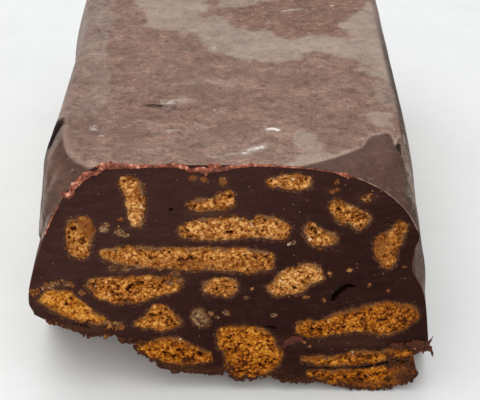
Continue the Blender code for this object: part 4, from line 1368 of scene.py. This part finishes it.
def creased(places, faces, skin):
    """The places with the skin's creases and gentle unevenness, along its normals."""
    mesh = bpy.data.meshes.new("loaf_draft")
    mesh.from_pydata(places.tolist(), [], faces)
    normals = normals_out(mesh)
    bpy.data.meshes.remove(mesh)
    loose = skin * smooth(places[:, 2], 1.0, 6.0) * smooth(places[:, 1], 0.0, 2.5)
    some = np.flatnonzero(loose > 0)
    at = places[some]
    worn = smooth(-at[:, 0], -8.0, 8.0) * (1 - smooth(at[:, 1], 30.0, 48.0))
    push = np.zeros(len(places))
    push[some] = 0.16 * noise_at(at, 22.0, 51) + 0.05 * noise_at(at, 6.0, 52)
    push[some] += (0.02 + 0.08 * worn) * noise_at(at, 2.6, 53)
    for depth, width, near, line in lines_near(CREASES, places, reach=20, among=some):
        push[near] -= depth * beside(places[near], line, width)
    return places + normals * (push * loose)[:, None]


def scuffs_at(flat):
    result = np.zeros(len(flat))
    for x, back, half_length, half_wide, turn, strength in SCUFFS:
        cos, sin = math.cos(math.radians(turn)), math.sin(math.radians(turn))
        dx, dy = flat[:, 0] - x, flat[:, 1] - back
        away = np.hypot((dx * cos + dy * sin) / half_length, (dy * cos - dx * sin) / half_wide)
        result = np.maximum(result, strength * (1 - smooth(away, 0.0, 1.3)))
    return result


def skin_notes(places, skin):
    """What the skin's material needs to know at each point."""
    x, back, height = places.T
    flat = places[:, :2]
    upper = height > TOP_MARKS_FROM
    notes = {}
    for label, patches in (("bloom", BLOOM), ("veil", VEIL), ("red", REDDER)):
        notes[label] = np.where(upper, patch_distance(flat, patches), -FAR)
    notes["veil"] = np.where(upper, notes["veil"], 4.0 * noise_at(places, 24.0, 71) - 0.5)
    notes["scuff"] = np.where(upper, scuffs_at(flat), 0.0)
    # painted shade inside folds
    shade = np.zeros(len(places))
    for *middle, reach, strength in SHADES:
        shade = np.maximum(shade, strength * np.exp(-(((places - middle) / reach) ** 2).sum(1)))
    notes["shade"] = shade

    # the left facet ends part of the way down
    facet = np.where(height > FACETS_FROM, patch_distance(flat, FACETS), -FAR)
    reached = height - 38.0 - 1.15 * back + 1.5 * noise_at(places, 5.0, 72)
    notes["facet"] = np.where(x < 0, np.minimum(facet, 0.3 * reached), facet)
    # painted shade in the folds
    every = np.flatnonzero(skin)
    painted_fold_shade = np.full(len(places), -2.0)
    for half, near, line in lines_near(FOLDS, places, reach=22, among=every):
        painted_fold_shade[near] = np.maximum(painted_fold_shade[near], half - to_line(places[near], line))
    left = np.flatnonzero(skin & (x < -44.5))
    painted_fold_shade[left] = np.maximum(painted_fold_shade[left], inside(places[left, 1:], np.array(SHADED_FOLD_SIDE)) - 0.1)
    notes["painted_fold_shade"] = painted_fold_shade

    # painted shade: the walls are darker near the cut, where they turn from the light, and the film on them
    # is wrinkled, with painted highlight and shade along its wrinkles
    low = 1 - smooth(height, 36.0, 46.0)
    left_wall = smooth(-x, 48.0, 50.0) * (1 - smooth(back, 20.0, 60.0)) * (1 - 0.5 * low)
    right_wall = smooth(x, 46.3, 47.3) * (1 - smooth(back, 70.0, 140.0))
    notes["painted_wall_shade"] = np.maximum(0.35 * left_wall, right_wall * (0.6 + 0.34 * smooth(height, 66.0, 72.0)))
    # where the film's wrinkles get painted highlight and shade
    film = smooth(-x, 46.0, 48.0) * (1 - smooth(back, 6.0, 13.0)) * smooth(height, 46.0, 52.0)
    film *= 0.3 + 0.5 * (1 - smooth(height, 57.0, 62.0))
    beyond = smooth(x, 46.4, 48.0) * (1 - smooth(back, 24.0, 40.0)) * smooth(height, 55.0, 62.0)
    notes["film"] = np.maximum(film, 0.6 * beyond * (1 - 0.5 * smooth(height, 69.0, 72.0))) * skin
    # painted highlights along the film's ridges, and glints
    painted_highlight = np.zeros(len(places))
    for strength, width, near, line in lines_near(PAINTED_HIGHLIGHTS, places, reach=40, among=every):
        painted_highlight[near] = np.maximum(painted_highlight[near], strength * beside(places[near], line, width))
    notes["painted_highlight"] = painted_highlight
    return notes


def finish_loaf():
    shell, border = make_loaf()
    places = np.array(shell.points)
    cut = np.zeros(len(places), bool)
    for corners, kind in zip(shell.faces, shell.kinds):
        if kind == 1:
            cut[list(corners)] = True
    painted_hollow_shade = marked_cut(places, cut, border)
    skin = ~cut & (places[:, 1] > 0.0)
    places = creased(places, shell.faces, skin)
    shell.points = places.tolist()
    near = np.full(len(places), -4.0)
    for name in BISCUITS:
        near[cut] = np.maximum(near[cut], inside(places[cut][:, IN_CUT], outlines[name]))
    crumbs = [(x, height, 1.1 * across, 1.1 * up, 0.75) for x, height, across, up, *_ in CRUMBS]
    crumby = np.maximum(blots(places, crumbs), blots(places, STAINS)) * (places[:, 1] < 1.0)
    notes = skin_notes(places, skin) | {"near": near, "crumby": crumby, "hollow": painted_hollow_shade}
    shell.make("chocolate_body", [SKIN, CUT], "chocolate", notes, ["chocolate_loaf"])


finish_loaf()

# ---------------------------------------------------------------- crumbs


def sphere(subdivisions):
    shape = bmesh.new()
    bmesh.ops.create_icosphere(shape, subdivisions=subdivisions, radius=1.0)
    points = np.array([vertex.co for vertex in shape.verts])
    faces = [tuple(vertex.index for vertex in face.verts) for face in shape.faces]
    shape.free()
    return points, faces


FINE_SPHERE = sphere(3)
SMALL_SPHERE = sphere(2)
STRAND_STEP = 0.35
PLAIN = (0.0, 0.0, 0.0, 0.0)


class Lumps(Shell):
    """Many small closed lumps in one mesh."""

    def __init__(self):
        super().__init__()
        self.notes = []  # (tone, smear, fat, dull) of each point

    def lump(self, place, reach, turn, seed, note=PLAIN, kind=0, fine=False):
        """A lump at a place, with its reach across, through and up, turned in the plane of the cut."""
        points, faces = FINE_SPHERE if fine else SMALL_SPHERE
        rough = 1 + 0.28 * noise_at(points, 0.75, seed)
        if fine:
            rough += 0.16 * noise_at(points, 0.3, seed + 0.5)
        x, through, up = (points * rough[:, None] * reach).T
        cos, sin = math.cos(turn), math.sin(turn)
        ids = self.add(np.stack((x * cos - up * sin, through, x * sin + up * cos), 1) + place)
        for face in faces:
            self.face(tuple(ids[i] for i in face), kind)
        self.notes += [note] * len(ids)

    def scatter(self, chance, place, reach, note=PLAIN, kind=0):
        """A lump that is turned at random."""
        self.lump(place, reach, chance.uniform(0, math.tau), chance.uniform(0, 90), note, kind)

    def strand(self, path, seed, rough, around=9, kind=0):
        """A rough strand along (x, back, height, reach across it, reach through it)."""
        line = flow(path)
        line = even(line, max(6, round(length_of(line[:, :3]) / STRAND_STEP)))
        middle = line[:, :3]
        along = np.gradient(middle, axis=0)
        across = units(np.stack((-along[:, 2], 0 * along[:, 1], along[:, 0]), 1))
        order = np.arange(len(line))
        taper = np.sqrt(np.minimum(1.0, (np.minimum(order, order[::-1]) + 0.4) / 2.5))
        angles = np.arange(around) / around * math.tau
        cos, sin = np.cos(angles)[:, None], np.sin(angles)[:, None]
        rings = []
        for i in range(len(line)):
            ring = middle[i] + taper[i] * (cos * across[i] * line[i, 3] + sin * (0.0, line[i, 4], 0.0))
            push = noise_at(ring, 1.3, seed) + 0.6 * noise_at(ring, 0.5, seed + 1)
            rings.append(self.add(middle[i] + (ring - middle[i]) * (1 + rough * push)[:, None]))
        self.loft(rings, kind)
        for ring, end in ((rings[0], middle[0]), (rings[-1], middle[-1])):
            tip = self.add([end])[0]
            for i in range(around):
                self.face((ring[i], ring[(i + 1) % around], tip), kind)
        self.notes += [PLAIN] * (len(self.points) - len(self.notes))

    def finish(self, name, materials, slot):
        attributes = dict(zip(("tone", "smear", "fat", "dull"), np.array(self.notes).T))
        self.make(name, materials, slot, attributes | {"rim": np.full(len(self.notes), 3.0)})


CRUMB_SEED = 7
BORDER_GRAINS = 0.24  # the share of a biscuit's border points that have a loose grain
CRUST_STEP = 0.4
CRUST_ENDS = (-51.5, 54.0)
CRUST_LUMPS = 3
GREYISH_BELOW = 0.15  # crumbs of a lower tone are greyish


def add_crumbs(lumps, chance):
    """The crumbs and small chips in the cut."""
    for x, height, across, up, turn, tone, smear in CRUMBS:
        cos, sin = math.cos(math.radians(turn)), math.sin(math.radians(turn))
        greyish = tone < GREYISH_BELOW
        for _ in range(4 + round(13 * across * up)):
            dx, dz = chance.normal(0, 0.5 * across), chance.normal(0, 0.5 * up)
            share = math.hypot(dx / across, dz / up)
            place = (x + dx * cos - dz * sin, 0.12 - 0.1 * chance.random(), height + dx * sin + dz * cos)
            size = chance.uniform(0.18, 0.5) * (0.6 if share > 0.9 else 1.0) * (1.35 if greyish else 1.0)
            reach = (size * chance.uniform(0.8, 1.5), size * 0.6, size * chance.uniform(0.7, 1.2))
            stain = np.clip(smear + 0.3 * share + chance.normal(-0.15, 0.2), 0, 0.95)
            dull = 0.95 if greyish else 0.4
            pale = 0.4 * (chance.random() < 0.05) * greyish
            lumps.scatter(chance, place, reach, (tone, stain * (1 - 0.5 * dull), pale, dull))


def add_grains(lumps, chance):
    """Loose grains along the biscuits' borders."""
    for name, (tone, _, _) in BISCUITS.items():
        outline = outlines[name]
        out = outward(outline)
        for i in np.flatnonzero(chance.random(len(outline)) < BORDER_GRAINS):
            away = chance.normal(0.1, 0.3)
            size = 0.12 + 0.22 * chance.random() ** 2
            x, height = outline[i] + out[i] * away
            reach = size * chance.uniform(0.7, 1.3, 3)
            smear = np.clip(0.45 + 0.4 * away + chance.uniform(-0.2, 0.25), 0, 0.9)
            lumps.scatter(chance, (x, 0.05, height), reach, (tone, smear, 0.0, 0.3))


def crust_stretches():
    """The crust's places, the way outward there, and how far out its lumps may start.

    It lies along the cut's lower edge, and round the biscuits that reach past that.
    """
    base = base_run(0.0, 0.0)
    base = even(base, round(length_of(base) / CRUST_STEP))
    base = base[np.maximum.reduce([inside(base, outlines[name]) for name in BARED]) < 0.3]
    yield base, np.tile((0.0, -1.0), (len(base), 1)), np.full(len(base), 0.35)
    border = np.concatenate([run[:-1] for run in loaf_runs(0.0)])
    for name in BARED:
        outline = outlines[name]
        within = inside(outline, border)
        near = within < 1.4
        yield outline[near], outward(outline)[near], np.where(within < 0.0, 0.5, 0.2)[near]


def add_crust(lumps, chance):
    for stretch in crust_stretches():
        for (x, height), (out_x, out_z), start in zip(*stretch):
            if not CRUST_ENDS[0] < x < CRUST_ENDS[1]:
                continue
            for _ in range(CRUST_LUMPS):
                lift = start - 0.15 - abs(chance.normal(0.0, 1.15))
                size = 0.18 + 0.62 * chance.random() ** 3.5
                reach = size * chance.uniform(0.5, 1.5, 3)
                least = 1.3 * reach[2] + 0.05  # its height when it lies on the floor
                place = (x + out_x * lift, chance.uniform(-0.1, 0.9), max(least, height + out_z * lift))
                bright = 0.2 if x < -36 else 0.08
                smear = 0.3 if size < 0.4 and chance.random() < bright else chance.uniform(0.86, 1.0)
                lumps.scatter(chance, place, reach, (0.9, smear, 0.0, 0.0))


def make_crumbs():
    chance = np.random.default_rng(CRUMB_SEED)
    lumps = Lumps()
    add_crumbs(lumps, chance)
    add_grains(lumps, chance)
    add_crust(lumps, chance)
    lumps.finish("cut_crumbs", [CRUMB], "biscuit")


make_crumbs()

# ---------------------------------------------------------------- what the knife dragged up

# The lip along the cut's upper edge: x, height, its reach across and through
LIP = (
    (-43.9, 65.9, 0.3, 0.4), (-43.2, 66.0, 0.8, 0.7), (-42.3, 65.9, 0.8, 0.7), (-41.3, 66.7, 0.9, 0.8),
    (-40.9, 68.1, 0.85, 0.7), (-39.9, 69.2, 1.0, 0.8), (-38.8, 70.2, 1.1, 0.9), (-38.1, 71.2, 1.0, 0.8),
    (-37.1, 71.7, 1.0, 0.8), (-36.0, 72.3, 0.75, 0.6), (-34.8, 72.3, 0.6, 0.5), (-33.5, 73.2, 0.7, 0.6),
    (-32.7, 74.2, 0.85, 0.7), (-31.5, 74.8, 0.95, 0.8), (-28.5, 74.7, 0.9, 0.8), (-25.0, 74.6, 0.75, 0.7),
    (-22.5, 74.6, 0.6, 0.6), (-20.0, 74.7, 0.5, 0.5), (-17.5, 74.75, 0.5, 0.5), (-14.5, 74.85, 0.65, 0.6),
    (-12.4, 74.8, 0.75, 0.7), (-11.2, 74.4, 0.6, 0.6), (-10.0, 73.5, 0.65, 0.6), (-8.6, 73.6, 0.8, 0.7),
    (-7.2, 73.7, 0.85, 0.8), (-5.4, 73.5, 0.85, 0.8), (-3.4, 73.8, 0.85, 0.8), (-1.2, 74.0, 0.6, 0.6),
    (1.0, 74.4, 0.5, 0.5), (3.0, 74.7, 0.5, 0.5), (6.0, 75.0, 0.45, 0.45), (10.5, 74.9, 0.35, 0.35),
    (15.7, 74.5, 0.25, 0.3), (21.0, 74.05, 0.16, 0.25), (27.0, 73.0, 0.15, 0.25), (28.6, 72.6, 0.3, 0.4),
    (30.0, 72.2, 0.6, 0.55), (31.4, 71.8, 0.45, 0.5), (32.4, 71.3, 0.14, 0.3),
)
# Other strands of dragged chocolate: x, back, height, reach across, reach through
STRANDS = (
    ((14.6, -0.05, 15.6, 0.5, 0.3), (15.8, -0.2, 17.2, 1.0, 0.5), (17.4, -0.25, 18.4, 1.25, 0.55),
     (19.2, -0.2, 18.9, 1.0, 0.45), (20.8, -0.05, 18.2, 0.4, 0.3)),
    ((54.9, -0.3, 16.6, 0.7, 0.2), (56.0, -0.5, 16.0, 1.0, 0.2), (56.9, -0.5, 15.2, 0.55, 0.16),
     (57.4, -0.4, 13.9, 0.3, 0.12), (57.7, -0.3, 12.5, 0.05, 0.06)),
    ((54.4, -0.4, 16.0, 0.6, 0.25), (54.7, -0.4, 14.9, 0.35, 0.2), (54.9, -0.3, 13.7, 0.06, 0.08)),
    ((55.9, -0.3, 17.2, 0.5, 0.3), (56.4, -0.3, 18.4, 0.35, 0.16), (56.9, -0.2, 19.4, 0.16, 0.1),
     (57.3, -0.2, 20.4, 0.05, 0.05)),
    ((52.6, -0.3, 16.2, 0.5, 0.2), (53.0, -0.3, 15.0, 0.16, 0.1), (53.2, -0.2, 14.4, 0.05, 0.05)),
)
# The torn crust that the tongue is made of: its outline as (x, height)
TONGUE = (
    (45.0, 17.3), (47.5, 17.6), (50.0, 17.6), (52.0, 18.4), (54.0, 18.4), (55.8, 18.0), (56.6, 16.6),
    (56.2, 15.4), (54.6, 15.2), (52.0, 15.5), (49.0, 15.9), (46.5, 16.2),
)
# Soft lumps on the lip where the knife caught: place, reach, turn
CAUGHT = (((-4.6, -0.1, 75.0), (1.0, 0.6, 0.5), 0.1), ((-2.6, 0.1, 74.9), (0.8, 0.5, 0.35), -0.3))
LIP_SEED = 11
LIP_STEP = 0.4
TONGUE_SPOTS = 420
# The lip's materials by number, in the order that make_lip gives them
LIP_RED, LIP_EDGE_HIGHLIGHT, LIP_CUT, LIP_DARK = range(4)


def along_edge(run, low, high, reach):
    """A strand's path along a run of the cut's outline between two heights."""
    part = run[(run[:, 1] > low) & (run[:, 1] < high)][::4]
    back, reach = (np.full(len(part), value) for value in (-0.02, reach))
    return np.stack((part[:, 0], back, part[:, 1], reach, reach), 1)


def add_lip(lumps, chance):
    line = flow(LIP)
    line = even(line, round(length_of(line[:, :2]) / LIP_STEP))
    middle, across, through = line[:, :2], line[:, 2], line[:, 3]
    along = np.gradient(middle, axis=0)
    normals = units(np.stack((-along[:, 1], along[:, 0]), 1))
    path = np.stack((middle[:, 0], -0.25 * through, middle[:, 1], across * 0.85, through * 0.8), 1)
    lumps.strand(path[::2], 61, rough=0.24, around=16)
    for i, (x, height) in enumerate(middle):
        crumbling = 0.8 if x < -33 or -13 < x < 0 or x > 28 else 0.15
        for _ in range(2):
            if chance.random() > 0.55 * crumbling * min(1.0, across[i] / 0.4):
                continue
            turn = math.atan2(-normals[i, 0], normals[i, 1]) + chance.normal(0, 0.35)
            size = across[i] * chance.uniform(0.5, 1.0)
            reach = (size * chance.uniform(1.1, 2.3), through[i] * chance.uniform(0.4, 0.8))
            reach += (size * chance.uniform(0.4, 0.75),)
            shift = normals[i] * chance.normal(0, 0.4) * across[i]
            place = (x + shift[0], -0.3 * through[i] * chance.random(), height + shift[1])
            lumps.lump(place, reach, turn, chance.uniform(0, 90), fine=True)
    for number, (place, reach, turn) in enumerate(CAUGHT):
        lumps.lump(place, reach, turn, number + 66, fine=True)


def add_tongue(lumps, chance):
    tongue = flow(TONGUE, closed=True)
    spots = chance.uniform(tongue.min(0), tongue.max(0), (TONGUE_SPOTS, 2))
    for x, height in spots[inside(spots, tongue) > 0.1]:
        size = 0.3 + 0.42 * chance.random() ** 2
        reach = (size * chance.uniform(0.8, 1.8), size * 0.8, size * chance.uniform(0.45, 0.9))
        kind = LIP_RED if chance.random() < 0.05 else LIP_DARK if chance.random() < 0.45 else LIP_CUT
        lumps.scatter(chance, (x, 0.1 - 0.5 * chance.random(), height), reach, kind=kind)


def make_lip():
    chance = np.random.default_rng(LIP_SEED)
    lumps = Lumps()
    add_lip(lumps, chance)
    for number, path in enumerate(STRANDS):
        soft = number == 0
        lumps.strand(path, number + 65, 0.3 if soft else 0.5, around=14 if soft else 9, kind=LIP_DARK)
    add_tongue(lumps, chance)
    runs = loaf_runs(0.0)
    lumps.strand(along_edge(runs[1], 53.0, 64.5, 0.2), 71, 0.5)
    # a painted highlight along the right corner's edge
    lumps.strand(along_edge(runs[3], 54.0, 71.4, 0.13), 73, 0.5, kind=LIP_EDGE_HIGHLIGHT)
    lumps.strand(along_edge(runs[4], 35.0, 52.6, 0.13), 74, 0.5, kind=LIP_DARK)
    lumps.finish("knife_lip", [RED_LIP, EDGE_HIGHLIGHT, CUT, DARK_EDGE], "chocolate")


make_lip()

# ---------------------------------------------------------------- floor, light and camera, in metres

FLOOR_HALF = 3.0
LIT_PLACE = (0.0, 0.0, 0.03)
# Lights: place, size, power, colour
LIGHTS = {
    "window": ((-0.3, 0.08, 1.85), 2.1, 18.0, (1.0, 0.985, 0.96)),
    "room": ((0.1, -0.9, 0.85), 1.4, 5.2, (1.0, 0.985, 0.97)),
    "fill": ((-1.0, -0.8, 0.3), 1.0, 2.2, (0.9, 0.95, 1.0)),
}
SKY = {"Color": (0.94, 0.97, 1.0, 1.0), "Strength": 0.6}
CAMERA_PLACE = Vector((0.00488, -0.36708, 0.22697))
CAMERA_AIM = Vector((-0.0065, 0.8568, -0.5155))
CAMERA_LENS = 90.0


def placed(name, data, place=(0.0, 0.0, 0.0), target=None):
    thing = bpy.data.objects.new(name, data)
    bpy.context.scene.collection.objects.link(thing)
    thing.location = place
    if target is not None:
        thing.rotation_euler = (Vector(target) - Vector(place)).to_track_quat("-Z", "Y").to_euler()
    return thing


def make_stage():
    mesh = bpy.data.meshes.new("floor")
    corners = [(x * FLOOR_HALF, y * FLOOR_HALF, 0) for x, y in ((-1, -1), (1, -1), (1, 1), (-1, 1))]
    mesh.from_pydata(corners, [], [(0, 1, 2, 3)])
    mesh.materials.append(FLOOR_LOOK)
    floor = placed("floor", mesh)
    for name, (place, size, power, colour) in LIGHTS.items():
        light = bpy.data.lights.new(name, "AREA")
        light.shape, light.size, light.energy, light.color = "DISK", size, power, colour
        placed(name, light, place, LIT_PLACE)
    world = bpy.data.worlds.new("studio")
    world.use_nodes = True
    for key, value in SKY.items():
        world.node_tree.nodes["Background"].inputs[key].default_value = value
    bpy.context.scene.world = world
    camera = bpy.data.cameras.new("camera")
    camera.sensor_width = 36.0
    camera.lens = CAMERA_LENS
    bpy.context.scene.camera = placed("camera", camera, CAMERA_PLACE, CAMERA_PLACE + CAMERA_AIM)
    bpy.context.scene.view_settings.view_transform = "Standard"


make_stage()
